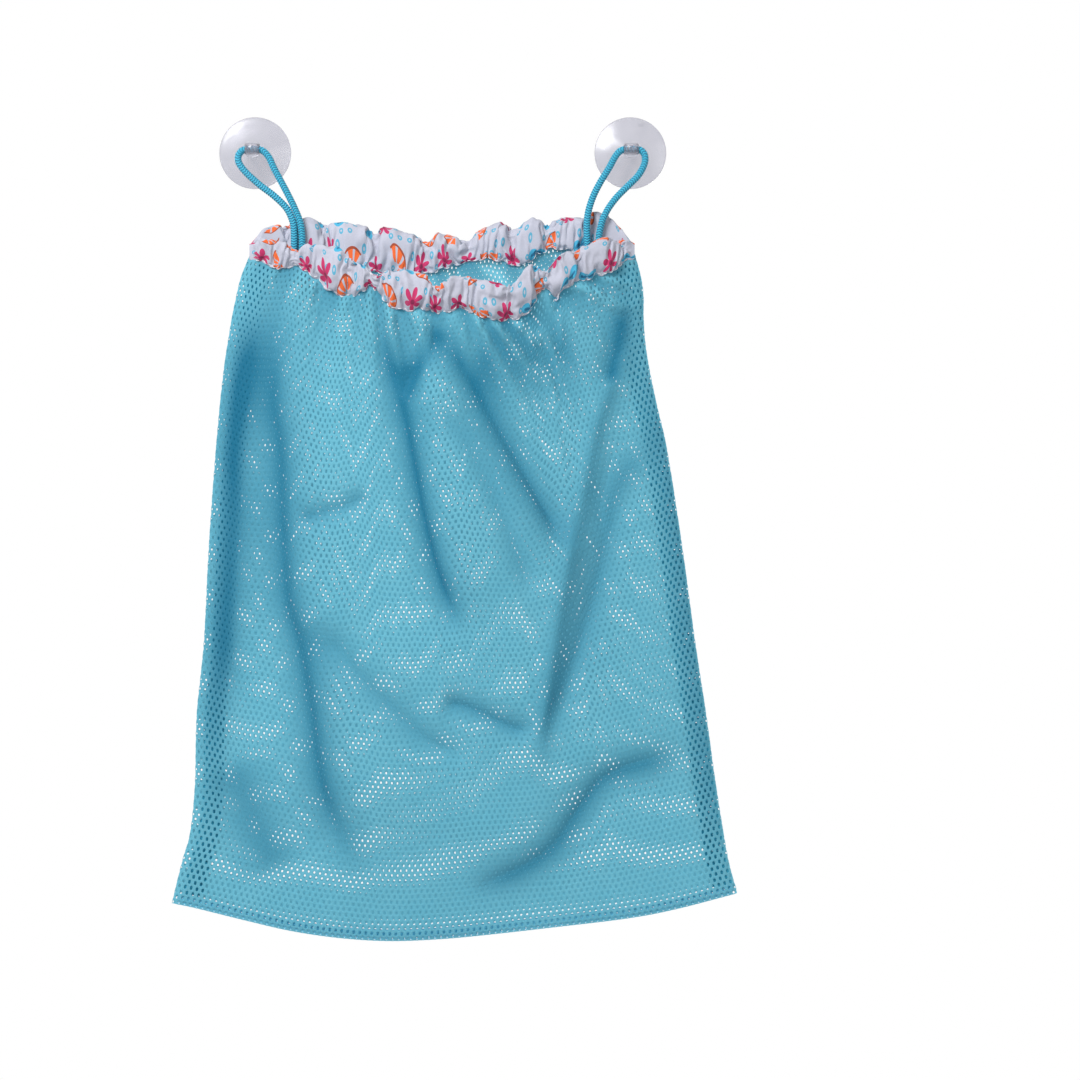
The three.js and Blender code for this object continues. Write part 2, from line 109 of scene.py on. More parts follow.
# Cord loops: points of each centreline from the eye of its cup, as (x, z)
CORD_DIAMETER = 4.4
CORD_TAIL = 9
CORD_SIDES = 32
CORD_STEP = 0.28
BRAID_PLAITS = 4
BRAID_SPACING = 1.6
BRAID_SLANT = 0.55
BRAID_DEPTH = 0.4
CORD_PATH_EVERY = 8
LEFT_LOOP = [
    (26, -64), (26, -58), (25.9, -51), (25, -44.5), (21.2, -36.6), (13.6, -29), (4.2, -21.8),
    (-4, -14.3), (-8.2, -8.6), (-8.6, -4.2), (-6.4, -1), (-3, 0), (0, 0), (3, 0), (6.8, -1.2),
    (10.3, -5), (13.3, -11.5), (17.3, -19), (21.8, -27.5), (26.2, -36.5), (29.6, -45), (30.7, -52),
    (30.9, -58), (30.9, -64),
]
RIGHT_LOOP = [
    (-26.9, -64), (-27.2, -58), (-27.6, -51), (-27.4, -44), (-26.2, -37), (-23.5, -29), (-19.2, -20.5),
    (-14, -12), (-9.9, -4.6), (-6.8, -1.1), (-3, 0), (0, 0), (3, 0), (6.5, -1.1), (8.5, -4.6),
    (7.9, -9.8), (4.2, -16.4), (-1.9, -22.6), (-8.7, -29.4), (-14, -36.4), (-17.6, -43.5),
    (-19.6, -51), (-20.3, -58), (-20.4, -64),
]

# Gathered casings of the collar: outline as (x, top, bottom), and how far each bows out as (x, bow)
FRONT_BAND = [
    (-119, -59, -70), (-111.5, -56.5, -72), (-99, -58, -77), (-90, -61, -75), (-80, -62, -81),
    (-66, -65, -92), (-53.8, -67.5, -94.2), (-41.4, -77.5, -89.5), (-29, -80, -102.2),
    (-10.4, -82.3, -103.4), (-2.4, -85.5, -105.9), (11.3, -84.5, -103.4), (23.7, -86, -107.1),
    (36.1, -86.7, -110.2), (48.5, -82, -107.8), (54.7, -75.5, -103.4), (64, -75.5, -89.5),
    (70.2, -69.3, -97), (76.4, -65, -89.2), (91.9, -58.8, -82.3), (104.3, -56.9, -78.6),
    (113.6, -56, -72), (119.5, -58.5, -69),
]
FRONT_BOW = [
    (-119, 0), (-108, 3), (-88, 7.4), (-62, 14), (-28, 22), (10, 26), (40, 24), (64, 16),
    (88, 8.4), (108, 3), (119.5, 0),
]
FRONT_PINCHES = [-118, -90, -56, -40, -2, 42, 64, 84, 118]
BACK_BAND = [
    (-119, -59, -69), (-113.5, -52, -71), (-104, -46, -72), (-84.2, -42.5, -73), (-69.3, -44.5, -74),
    (-54.4, -47, -75.5), (-34.6, -49, -78), (-24.7, -51.5, -80), (-9.8, -54, -78), (0, -52, -75),
    (10, -53.5, -72.5), (20, -52, -70), (34.8, -45.5, -69.5), (44.8, -47, -73.5), (54.7, -42.5, -70),
    (64.6, -44, -63.5), (74.5, -42.5, -63), (84.4, -40, -66), (99.3, -39.5, -69), (108, -45, -70),
    (114.2, -53, -70), (119.5, -59, -68),
]
BACK_BOW = [
    (-119, 0), (-108, 2.4), (-90, 4.6), (-45, 5.8), (0, 6.2), (45, 5.8), (92, 4.6), (109, 2.4),
    (119.5, 0),
]
BACK_PINCHES = [-118, -97, -73, -42, -10, 17, 44, 66, 90, 118]
CASING_OFFSET = 2.8
CASING_END_OFFSET = 1.6
CASING_END_REACH = 14
CASING_PUFF = 8.5
CASING_END_PUFF = 1.6
CASING_LEAN = 0.16
CASING_COLUMNS = 300
CASING_ROWS = 40
CASING_FULLNESS = 1.25
CASING_WIDTH = 56
CASING_SEWN_SHARE = 0.04
CASING_HELD_END = 0.012
CASING_ROUNDNESS = 0.82
CASING_FACE_FULLNESS = 0.75
FRONT_SEED = 1.0
BACK_SEED = 12.0
SETTLE_GROWTH = 0.3
START_WAVE = 0.8
START_RISE = 1.5
START_DROP = 2.5
WRINKLE_SPACING = 12
WRINKLE_SLANT = 3
FINE_WRINKLE_SPACING = 5.5
FINE_WRINKLE_SLANT = 2
FINE_WRINKLE_SHARE = 0.5
BACK_FACE_SEED = 2
PINCH_WIDTH = 5
PINCH_FLATNESS = 0.6
PINCH_HELD_FROM = 0.85
SEWN_DEPTH = 4
SEWN_LEAN_SHARE = 0.7
RUFFLE_HEIGHT = 0.9
RUFFLE_SPACING = 9
RELAX_FRAMES = 26
CORD_CLEARANCE = 2.5
END_CLEARANCE = 0.8
WALL_CLEARANCE = 0.5
PINCH_HOLD = 0.35
LOOSE_HOLD = 0.01
CLOTH_SETTINGS = {
    "quality": 6,
    "mass": 0.15,
    "tension_stiffness": 20,
    "compression_stiffness": 40,
    "shear_stiffness": 8,
    "bending_stiffness": 0.3,
    "tension_damping": 8,
    "compression_damping": 8,
    "shear_damping": 8,
    "bending_damping": 0.5,
    "air_damping": 2,
    "pin_stiffness": 1,
}

# Elastic in each casing
ELASTIC_WIDTH = 7.4
ELASTIC_THICKNESS = 0.8
ELASTIC_COLUMNS = 260
ELASTIC_ROWS = 24
ELASTIC_END_SHARE = 0.01
ELASTIC_MOST_SHARE = 0.62
ELASTIC_SQUARENESS = 0.3
ELASTIC_FLATNESS = 0.5
ELASTIC_RIPPLE = 0.25
ELASTIC_RIPPLE_SPACING = 7
ELASTIC_SEED = 2
ELASTIC_PRESSED_SHARE = 0.1
COTTON_GAP = 0.4
FOLD_REACH = 3

# Outline of the bag as (x, z): the left edge and the right edge upwards from the hem, and the hem
LEFT_EDGE = [
    (-167.3, -467.4), (-160.5, -440), (-156.1, -424.6), (-153, -394.8), (-151.8, -350.2),
    (-147.4, -305.5), (-144.3, -246), (-140, -186.5), (-135.7, -141.9), (-131.3, -112), (-128, -94.7),
    (-124.5, -80),
]
RIGHT_EDGE = [
    (183.3, -461.2), (177.4, -439.5), (170, -394.8), (163.8, -350.2), (157, -305.5), (148.9, -246),
    (139.6, -186.5), (132.8, -156.7), (127, -127), (125, -104.7), (125, -92), (123.5, -80),
]
HEM = [
    (-167.3, -467.4), (-152.4, -470.5), (-122.6, -477.9), (-92.9, -484.7), (-63.1, -489),
    (-33.4, -490.8), (-3.6, -489.8), (26.2, -487.2), (70.8, -482.2), (115.4, -476.8),
    (145.2, -471.1), (183.3, -461.2),
]
PANEL_OFFSET = 1.6
EDGE_OFFSET = 0.12
EDGE_TURN = 3
LEAST_FORWARD = -0.3
FRONT_BELLY = 9
BACK_BELLY = 3
PANEL_COLUMNS = 241
PANEL_ROWS = 281
GATHER_DEPTH = 3.6
GATHER_SPACING = 17
GATHER_REACH = 30
GATHER_HEIGHT = 1.6
GATHER_SPREAD = 160
GATHER_DRIFT = 40
GATHER_START = 9
GATHER_EDGE_SHARE = 0.06
GATHER_SHADE_LEVEL = 0.6
FINE_GATHER_SPACING = 0.45 * GATHER_SPACING
FINE_GATHER_REACH = 0.35 * GATHER_REACH
FINE_GATHER_HEIGHT = 0.5
FRONT_GATHER_SEED = 3.0
BACK_GATHER_SEED = 7.0
EDGE_END_POWER = 6
INSIDE_POWER = 0.3
FRONT_GATHER_SHADE = 0.6
BACK_GATHER_SHADE = 1.0

# Net: six-sided cells of this width and height, with yarn of this half width
CELL_WIDTH = 3.7
CELL_HEIGHT = 5.4
CELL_SIZE = (CELL_WIDTH, CELL_HEIGHT)
ROW_STEP = 0.75 * CELL_HEIGHT
ROW_PITCH = 3.37
NET_AREA_SHARE = 0.62
YARN_HALF_WIDTH = 1.0
YARN_ACROSS = 1.05
YARN_UP = 1.06
MOST_CLOSED = 0.9
FRONT_OPENNESS = 1.0
BACK_OPENNESS = 0.76
YARN_GIVE = 0.5
HOLE_LEAST = 0.1
HOLE_MOST = 1.3
YARN_RAISE = 0.35
EDGE_PRESS = 0.12
FRONT_CELLS = (95, 116)
BACK_CELLS = (95, 146)

# Folds of each panel: a line through (x, z) points, its width, its depth towards the viewer, the
# rise from its left to its right side, how much the net is drawn in and how much painted shade it gets
FRONT_FOLDS = [
    {"line": [(-85, -85), (-101, -125), (-103, -157), (-99, -188), (-97, -236), (-94, -278), (-87, -304),
              (-80, -342), (-73, -392), (-60, -427), (-46, -456)],
     "width": 14, "depth": -3, "rise": 5, "draw": 0.6, "shade": 0.9},
    {"line": [(-36, -106), (-26, -146), (-21, -168), (-15, -199), (-9, -230), (-1, -261), (14, -304)],
     "width": 11, "depth": -5, "rise": 3, "draw": 0.7, "shade": 1.0},
    {"line": [(-1, -109), (-10, -134), (-23, -156)],
     "width": 8, "depth": -4, "rise": 0, "draw": 0.5, "shade": 0.7},
    {"line": [(2, -112), (24, -156), (48, -199), (64, -227), (78, -252)],
     "width": 11, "depth": -4.5, "rise": -2.5, "draw": 0.65, "shade": 0.8},
    {"line": [(-7, -156), (18, -187), (39, -230), (58, -280)],
     "width": 9, "depth": -2.5, "rise": 0, "draw": 0.4, "shade": 0.35},
    {"line": [(123, -91), (109, -138), (97, -172), (87, -218), (78, -262), (69, -310), (63, -352),
              (59, -394)],
     "width": 8, "depth": 3, "rise": -2, "draw": 0.4, "shade": 0.35},
    {"line": [(132, -175), (121, -190), (106, -216), (98, -259), (85, -305), (72, -341), (64, -371)],
     "width": 12, "depth": -2.6, "rise": 0, "draw": 0.5, "shade": 0.55},
    {"line": [(114, -94), (106, -128), (103, -148)],
     "width": 8, "depth": -5, "rise": 0, "draw": 0.5, "shade": 0.7},
    {"line": [(154, -374), (106, -387), (88, -405), (70, -431), (48, -447), (14, -460)],
     "width": 11, "depth": -5, "rise": -2.5, "draw": 0.65, "shade": 0.8},
    {"line": [(-1, -341), (17, -345), (39, -355), (56, -361)],
     "width": 9, "depth": -4, "rise": 0, "draw": 0.5, "shade": 0.65},
    {"line": [(-75, -289), (-50, -325), (-28, -348), (-7, -366), (21, -376)],
     "width": 12, "depth": -4, "rise": 0, "draw": 0.5, "shade": 0.4},
    {"line": [(-135, -377), (-123, -398), (-112, -425), (-98, -450)],
     "width": 19, "depth": -3, "rise": 0, "draw": 0.4, "shade": 0.6},
    {"line": [(-112, -87), (-123, -131), (-128, -187), (-125, -230), (-130, -292), (-134, -354)],
     "width": 13, "depth": -3, "rise": 1, "draw": 0.4, "shade": 0.55},
    {"line": [(-86, -230), (-60, -222), (-42, -214)],
     "width": 8, "depth": -2.5, "rise": 0, "draw": 0.4, "shade": 0.5},
    # Shade only: painted shade along the side seams
    {"line": [(-116, -100), (-126, -160), (-132, -220), (-136, -280), (-140, -340), (-144, -400)],
     "width": 9, "depth": 0, "rise": 0, "draw": 0, "shade": 0.45},
    {"line": [(122, -120), (133, -170), (142, -220), (150, -280), (158, -340), (166, -400), (172, -440)],
     "width": 8, "depth": 0, "rise": 0, "draw": 0, "shade": 0.35},
    {"line": [(20, -125), (50, -132), (88, -126)],
     "width": 26, "depth": -1.5, "rise": 0, "draw": 0.1, "shade": 0.5},
]
BACK_FOLDS = [
    {"line": [(-70, -90), (-84, -180), (-60, -300)],
     "width": 13, "depth": -3, "rise": 0, "draw": 0.25, "shade": 0.3},
    {"line": [(20, -90), (30, -200), (-10, -330)],
     "width": 14, "depth": -3, "rise": 0, "draw": 0.25, "shade": 0.3},
    {"line": [(90, -90), (80, -220), (110, -380)],
     "width": 13, "depth": -3, "rise": 0, "draw": 0.25, "shade": 0.3},
    {"line": [(-110, -400), (-20, -420), (90, -440)],
     "width": 13, "depth": -2, "rise": 0, "draw": 0.15, "shade": 0.2},
]
FOLD_FADE = 26
FOLD_STRENGTH = 1.35
FOLD_SAMPLES = 60
FOLD_END_STRENGTH = 0.15
FOLD_END_SHARE = 0.22
FOLD_STEP_REACH = 5
# Name of the points' painted shade, which the net's finish mixes in as a deeper colour
SHADE_NAME = "painted_shade"

# Turned seams between the panels
SEAM_WIDTH = 13
SEAM_CELLS_ACROSS = 4
SEAM_LAYER_GAP = 0.9
SEAM_INSET = 1.2
LEFT_SEAM_INSET = 5
SEAM_YARN_RAISE = 0.15
SIDE_SEAM_ROWS = 112
SIDE_SEAM_SPAN = slice(2, -4)
BOTTOM_SEAM_ROWS = 92
BOTTOM_SEAM_SPAN = slice(2, -2)
BOTTOM_SEAM_NARROWING = 0.5
THREAD_RADIUS = 0.24
THREAD_SIDES = 6
OVERLOCK_PITCH = 3
OVERLOCK_WIDTH = 4
OVERLOCK_LIFT = 0.5

# Stitches of each casing: their place round it, the shares along it where they start and end, and the
# heights of their ends and middle above the cotton
STITCH_LENGTH = 2.4
STITCH_GAP = 1.1
STITCH_PLACE = 0.085
STITCH_START = 0.02
STITCH_END = 0.98
STITCH_HEIGHTS = (-0.05, 0.3, -0.05)
STITCH_POINTS = 7

# Finishes: pitches in millimetres
NET_LIGHT_THROUGH = 0.32
WEAVE_PITCH = 0.5
RIB_PITCH = 1.1
WEFT_PITCH = 0.8

# Print on the cotton: the cells' size in millimetres, the drawn number that picks each motif, and the
# motifs' radii in cell widths
MOTIF_CELL = 18.0
MOTIF_SEED = 3.0
MOTIF_SCATTER = 0.28
FAN_BELOW = 0.4
FAN_INNER = 0.1
FAN_OUTER = 0.38
FAN_EDGE = 0.42
FAN_SIDE = -0.15
FAN_RIBS = 9.0
FAN_RIB_LEVEL = -0.55
BURST_INNER = 0.1
BURST_PETAL = 0.24
BURST_HEART = 0.07
BURST_TURNS = 3.0
LEAF_ABOVE = 0.68
LEAF_LENGTH = 0.4
VEIN_LENGTH = 0.3
VEIN_POWER = 6
RING_CELL = 5.6
RING_SEED = 8.0
RING_ABOVE = 0.72
RING_INNER = 0.1
RING_OUTER = 0.26

# Light and floor: places and sizes in metres, powers in watts
WHITE = (1, 1, 1, 1)
AMBIENT_LIGHT = 0.3
LIGHT_TARGET = (0.01, 0, -0.25)
LIGHTS = {
    "key": {"place": (-0.75, -1.2, 0.75), "size": 0.8, "power": 33},
    "fill": {"place": (0.9, -1.3, 0.0), "size": 1.0, "power": 6},
}
FLOOR_LEVEL = -0.9
FLOOR_SIZE = 1.6


# Curves and waves

def smooth_curve(points, count):
    """Evenly spaced points on a smooth curve through given ones."""
    points = np.asarray(points, float)
    row = np.vstack([2 * points[0] - points[1], points, 2 * points[-1] - points[-2]])
    t = np.linspace(0, 1, CURVE_STEPS, endpoint=False)[:, None]
    runs = []
    for a, b, c, d in zip(row, row[1:], row[2:], row[3:]):
        run = 2 * b + (c - a) * t + (2 * a - 5 * b + 4 * c - d) * t ** 2
        runs.append((run + (3 * b - a - 3 * c + d) * t ** 3) / 2)
    dense = np.vstack([*runs, points[-1:]])
    along = lengths_along(dense)
    wanted = np.linspace(0, along[-1], count)
    return np.column_stack([np.interp(wanted, along, column) for column in dense.T])


def lengths_along(points):
    """Distance of each point from the first, along the row."""
    steps = np.linalg.norm(np.diff(points, axis=0), axis=1)
    return np.concatenate([[0], np.cumsum(steps)])


def uneven_wave(position, spacing, seed):
    """A wave from -1 to 1 whose spacing and height wander along its length."""
    turn = position / spacing
    wander = sum(np.sin(rate * turn + start * seed) for rate, start in WAVE_WANDER)
    swell = 1 - WAVE_SWELL + WAVE_SWELL * np.sin(SWELL_TURNS * turn + SWELL_START * seed)
    return swell * np.sin(2 * np.pi * turn + WAVE_SHIFT * wander + seed)


def smooth_rise(t):
    """Rises from 0 to 1 with a soft start and a soft end."""
    t = np.clip(t, 0, 1)
    return t * t * (3 - 2 * t)


# Meshes

def select_only(piece):
    bpy.ops.object.select_all(action="DESELECT")
    piece.select_set(True)
    bpy.context.view_layer.objects.active = piece


def edit_all(piece):
    select_only(piece)
    bpy.ops.object.mode_set(mode="EDIT")
    bpy.ops.mesh.select_all(action="SELECT")


def leave_edit():
    bpy.ops.object.mode_set(mode="OBJECT")


def name_piece(piece, name):
    piece.name = name
    piece.data.name = name
    return piece


def vertices_of(piece):
    flat = np.empty(len(piece.data.vertices) * 3, np.float32)
    piece.data.vertices.foreach_get("co", flat)
    return flat.reshape(-1, 3).astype(float)


def move_vertices(piece, points):
    """Puts each vertex at its point, given in millimetres."""
    piece.data.vertices.foreach_set("co", (points * MM).astype(np.float32).ravel())
    piece.data.update()


def grid_piece(name, columns, rows):
    """A flat unit grid with a UV map, ready to be shaped."""
    bpy.ops.object.select_all(action="DESELECT")
    bpy.ops.mesh.primitive_grid_add(
        x_subdivisions=columns, y_subdivisions=rows, size=1, calc_uvs=True, location=(0.5, 0.5, 0))
    piece = bpy.context.object
    bpy.ops.object.transform_apply(location=True, rotation=False, scale=False)
    return name_piece(piece, name)


def size_uv(piece, width, height):
    """Gives the unit UV map the cloth's own size, in millimetres."""
    layer = piece.data.uv_layers.active.data
    flat = np.empty(len(layer) * 2, np.float32)
    layer.foreach_get("uv", flat)
    layer.foreach_set("uv", (flat.reshape(-1, 2) * (width, height)).astype(np.float32).ravel())


def close_tube(piece):
    """Merges the two edges of a rolled-up grid and turns its faces outwards."""
    edit_all(piece)
    bpy.ops.mesh.remove_doubles(threshold=MERGE_DISTANCE * MM)
    bpy.ops.mesh.normals_make_consistent(inside=False)
    leave_edit()


def shade_smooth(piece, degrees=ALL_ROUND):
    select_only(piece)
    bpy.ops.object.shade_smooth_by_angle(angle=math.radians(degrees))


def joined(pieces, name):
    """Joins pieces into one, shaded smooth all round."""
    select_only(pieces[0])
    for piece in pieces[1:]:
        piece.select_set(True)
    bpy.ops.object.join()
    shade_smooth(pieces[0])
    return name_piece(pieces[0], name)


def swept_tube(name, path, radius, sides):
    """A closed tube along a row of points, with rounded ends. Its radius is a number, or a function of
    the number of the point and the angle round the tube."""
    count = len(path)
    piece = grid_piece(name, count - 1, sides)
    uv = vertices_of(piece)
    k = np.rint(uv[:, 0] * (count - 1)).astype(int)
    tangent = np.gradient(path, axis=0)
    tangent /= np.linalg.norm(tangent, axis=1)[:, None]
    side = np.cross(tangent, (0.0, 1.0, 0.0))
    side /= np.linalg.norm(side, axis=1)[:, None]
    front = np.cross(side, tangent)
    angle = 2 * np.pi * uv[:, 1]
    reach = radius(k, angle) if callable(radius) else np.full(len(k), radius)
    along = lengths_along(path)
    to_end = np.minimum(along, along[-1] - along)[k]
    inside = np.clip(to_end / np.max(reach), 0, 1)
    reach = reach * np.sqrt(inside * (2 - inside))
    outward = np.cos(angle)[:, None] * side[k] + np.sin(angle)[:, None] * front[k]
    move_vertices(piece, path[k] + reach[:, None] * outward)
    size_uv(piece, along[-1], 1)
    close_tube(piece)
    return piece


# Finishes

class Link:
    """A shader value in a Python sum: each operation adds a Math node."""

    def __init__(self, finish, socket):
        self.finish = finish
        self.socket = socket

    def math(self, operation, *others):
        return self.finish.math(operation, self, *others)

    def __add__(self, other):
        return self.math("ADD", other)

    def __sub__(self, other):
        return self.math("SUBTRACT", other)

    def __rsub__(self, other):
        return self.finish.math("SUBTRACT", other, self)

    def __mul__(self, other):
        return self.math("MULTIPLY", other)

    def __truediv__(self, other):
        return self.math("DIVIDE", other)

    def __pow__(self, other):
        return self.math("POWER", other)

    def __lt__(self, other):
        return self.math("LESS_THAN", other)

    def __gt__(self, other):
        return self.math("GREATER_THAN", other)

    __radd__ = __add__
    __rmul__ = __mul__


class Finish:
    """A material whose nodes are written as Python expressions."""

    def __init__(self, name, **constants):
        self.material = bpy.data.materials.new(name)
        self.material.use_nodes = True
        self.tree = self.material.node_tree
        self.shader = self.tree.nodes["Principled BSDF"]
        for socket, value in constants.items():
            self.shader.inputs[socket.replace("_", " ")].default_value = value

    def node(self, kind, settings, inputs, output=0):
        made = self.tree.nodes.new("ShaderNode" + kind)
        for name, value in settings.items():
            setattr(made, name, value)
        for name, value in inputs.items():
            self.feed(made.inputs[name], value)
        return Link(self, made.outputs[output])

    def feed(self, socket, value):
        if isinstance(value, Link):
            self.tree.links.new(value.socket, socket)
        else:
            socket.default_value = value

    def math(self, operation, *values):
        return self.node("Math", {"operation": operation}, dict(enumerate(values)))

    def mix(self, share, first, second):
        """A colour mixed from two. The node's sockets share their names, so they go by number."""
        share_socket, first_socket, second_socket, output = 0, 6, 7, 2
        inputs = {share_socket: share, first_socket: first, second_socket: second}
        return self.node("Mix", {"data_type": "RGBA"}, inputs, output)

    def cloth_place(self):
        """Both UV coordinates, in millimetres."""
        uv = self.node("UVMap", {}, {})
        return [self.node("SeparateXYZ", {}, {0: uv}, axis) for axis in ("X", "Y")]

    def noise(self, scale, detail=2.0):
        """Soft random patches, with this many to the metre."""
        place = self.node("TexCoord", {}, {}, "Object")
        return self.node("TexNoise", {}, {"Vector": place, "Scale": scale, "Detail": detail})

    def set(self, **links):
        for socket, link in links.items():
            self.feed(self.shader.inputs[socket.replace("_", " ")], link)

    def pass_light(self, share, tint):
        """Thin cloth lets a share of the light through to its other side."""
        through = self.node("BsdfTranslucent", {}, {"Color": tint})
        both = {0: share, 1: Link(self, self.shader.outputs[0]), 2: through}
        surface = self.node("MixShader", {}, both)
        self.feed(self.tree.nodes["Material Output"].inputs["Surface"], surface)

    def roughen(self, by, least, spread):
        self.set(Roughness=least + spread * by)

    def bump(self, height, depth, strength):
        """Shades a height from 0 to 1 as if it were this deep, in millimetres."""
        inputs = {"Height": height, "Distance": depth * MM, "Strength": strength}
        self.set(Normal=self.node("Bump", {}, inputs))


def colour(red, green, blue):
    """A colour from 0 to 255 in sRGB, as linear values."""
    shares = [value / 255 for value in (red, green, blue)]
    linear = [s / 12.92 if s <= 0.04045 else ((s + 0.055) / 1.055) ** 2.4 for s in shares]
    return (*linear, 1.0)


def net_finish(name, light, dark, deep):
    """Soft knitted yarn with slightly uneven dye, and painted shade in a deeper colour where marked."""
    finish = Finish(name, Sheen_Weight=0.25, Sheen_Roughness=0.4, Specular_IOR_Level=0.3)
    patch_share = 0.65
    patches = finish.noise(scale=45.0)
    fibres = finish.noise(scale=2600.0)
    # Painted shade: the points' shade values mix in the deeper colour
    painted_shade_mix = finish.node("Attribute", {"attribute_name": SHADE_NAME}, {}, "Fac")
    open_colour = finish.mix(patch_share * patches + (1 - patch_share) * fibres, dark, light)
    finish.set(Base_Color=finish.mix(painted_shade_mix, open_colour, deep))
    finish.roughen(fibres, least=0.55, spread=0.25)
    finish.bump(fibres, depth=0.15, strength=0.6)
    finish.pass_light(NET_LIGHT_THROUGH, light)
    return finish.material


def cord_finish():
    """Braided polyester: slanting strands in plaits, with a sheen on each and shade between them."""
    finish = Finish("braided_cord", Sheen_Weight=0.2, Specular_IOR_Level=0.4)
    along, around = finish.cloth_place()
    slant = finish.math("ABSOLUTE", 2 * finish.math("FRACT", BRAID_PLAITS * around) - 1)
    wave = finish.math("SINE", math.pi * (along / BRAID_SPACING + BRAID_SLANT * slant))
    strand = finish.math("ABSOLUTE", wave)
    fibres = finish.noise(scale=3000.0)
    fibre_share = 0.15
    fibre_height = 0.3
    painted_light_and_shade = (1 - fibre_share) * strand ** 2 + fibre_share * fibres
    finish.set(Base_Color=finish.mix(painted_light_and_shade, colour(0, 80, 120), colour(58, 184, 212)))
    finish.roughen(fibres, least=0.45, spread=0.25)
    finish.bump(strand + fibre_height * fibres, depth=0.2, strength=0.5)
    return finish.material


def scattered(finish, across, up, cell, seed):
    """One motif place per staggered cell: its polar coordinates in cell widths, and a random number."""
    row = finish.math("FLOOR", up / cell)
    shifted = across / cell + 0.5 * finish.math("FLOORED_MODULO", row, 2.0)
    column = finish.math("FLOOR", shifted)
    cell_name = finish.node("CombineXYZ", {}, {0: column, 1: row, 2: seed})
    draw = finish.node("TexWhiteNoise", {"noise_dimensions": "3D"}, {"Vector": cell_name}, "Color")
    first, second, third = [finish.node("SeparateColor", {}, {0: draw}, k) for k in range(3)]
    x = shifted - column - 0.5 - MOTIF_SCATTER * (first - 0.5)
    y = up / cell - row - 0.5 - MOTIF_SCATTER * (third - 0.5)
    radius = finish.math("SQRT", x * x + y * y)
    angle = finish.math("ARCTAN2", y, x) + 2 * math.pi * second
    return radius, angle, first


def printed_cotton_finish():
    """White plain weave with a small scattered print of fans, bursts, leaves and rings."""
    finish = Finish("printed_cotton", Sheen_Weight=0.15, Specular_IOR_Level=0.35)
    across, up = finish.cloth_place()
    radius, angle, pick = scattered(finish, across, up, MOTIF_CELL, MOTIF_SEED)
    is_fan = pick < FAN_BELOW
    is_leaf = pick > LEAF_ABOVE
    is_burst = (1 - is_fan) * (1 - is_leaf)
    open_side = finish.math("COSINE", angle) > FAN_SIDE
    ribs = finish.math("COSINE", FAN_RIBS * angle) > FAN_RIB_LEVEL
    fan = is_fan * (radius < FAN_OUTER) * (radius > FAN_INNER) * open_side * ribs
    fan_edge = is_fan * (radius < FAN_EDGE) * (radius > FAN_OUTER) * open_side
    petal = finish.math("ABSOLUTE", finish.math("COSINE", BURST_TURNS * angle))
    burst = is_burst * (radius < BURST_INNER + BURST_PETAL * petal)
    burst_heart = is_burst * (radius < BURST_HEART)
    leaf_reach = finish.math("COSINE", angle) ** 2
    leaf = is_leaf * (radius < LEAF_LENGTH * leaf_reach)
    leaf_vein = is_leaf * (radius < VEIN_LENGTH * leaf_reach ** VEIN_POWER)
    ring_radius, _, ring_pick = scattered(finish, across, up, RING_CELL, RING_SEED)
    rings = (ring_radius < RING_OUTER) * (ring_radius > RING_INNER) * (ring_pick > RING_ABOVE)
    fibres = finish.noise(scale=900.0)
    tint = finish.mix(fibres, colour(166, 168, 182), colour(182, 184, 198))
    for mask, paint in (
        (rings, colour(84, 158, 186)),
        (leaf, colour(64, 160, 194)),
        (leaf_vein, colour(30, 104, 140)),
        (burst, colour(178, 40, 92)),
        (burst_heart, colour(120, 24, 66)),
        (fan, colour(222, 98, 44)),
        (fan_edge, colour(150, 66, 40)),
    ):
        tint = finish.mix(mask, tint, paint)
    threads = [finish.math("SINE", 2 * math.pi * place / WEAVE_PITCH) for place in (across, up)]
    weave = threads[0] * threads[1]
    middle, weave_height, fibre_height = 0.5, 0.25, 0.25
    finish.set(Base_Color=tint)
    finish.roughen(fibres, least=0.72, spread=0.12)
    finish.bump(middle + weave_height * weave + fibre_height * fibres, depth=0.08, strength=0.5)
    return finish.material


def elastic_finish():
    """White webbing with ribs along it, with painted shade: darker between the ribs and lighter on them.
    """
    finish = Finish("elastic_webbing", Specular_IOR_Level=0.3)
    along, around = finish.cloth_place()
    rib = finish.math("SINE", 2 * math.pi * around / RIB_PITCH)
    yarn = finish.math("SINE", 2 * math.pi * along / WEFT_PITCH)
    middle, rib_shade_contrast, rib_height, yarn_height = 0.5, 0.35, 0.3, 0.2
    # Painted shade: the colour follows the ribs, darker in the grooves and lighter on the crests
    painted_light_and_shade = middle + rib_shade_contrast * rib
    finish.set(Base_Color=finish.mix(painted_light_and_shade, colour(206, 206, 208), colour(236, 236, 238)))
    finish.roughen(yarn, least=0.8, spread=0.08)
    finish.bump(middle + rib_height * rib + yarn_height * yarn, depth=0.15, strength=0.7)
    return finish.material


def clear_pvc_finish():
    """Clear soft plastic with a faint lilac tint, a little cloudy where it was handled."""
    finish = Finish("clear_pvc", Transmission_Weight=0.86, IOR=1.46, Specular_IOR_Level=0.5)
    cloud = finish.noise(scale=140.0, detail=4.0)
    finish.set(Base_Color=finish.mix(cloud, colour(196, 196, 206), colour(208, 208, 217)))
    finish.roughen(cloud, least=0.17, spread=0.1)
    finish.bump(cloud, depth=0.2, strength=0.15)
    return finish.material


def thread_finish(name, paint, darkest=0.7):
    """Sewing thread, with fibres that are as dark as a share of its colour."""
    finish = Finish(name, Sheen_Weight=0.2)
    fibres = finish.noise(scale=3500.0)
    darker = tuple(darkest * value for value in paint[:3])
    finish.set(Base_Color=finish.mix(fibres, (*darker, 1.0), paint))
    finish.roughen(fibres, least=0.5, spread=0.2)
    finish.bump(fibres, depth=0.1, strength=0.5)
    return finish.material


def dress(piece, material):
    piece.data.materials.clear()
    piece.data.materials.append(material)


# Suction cups

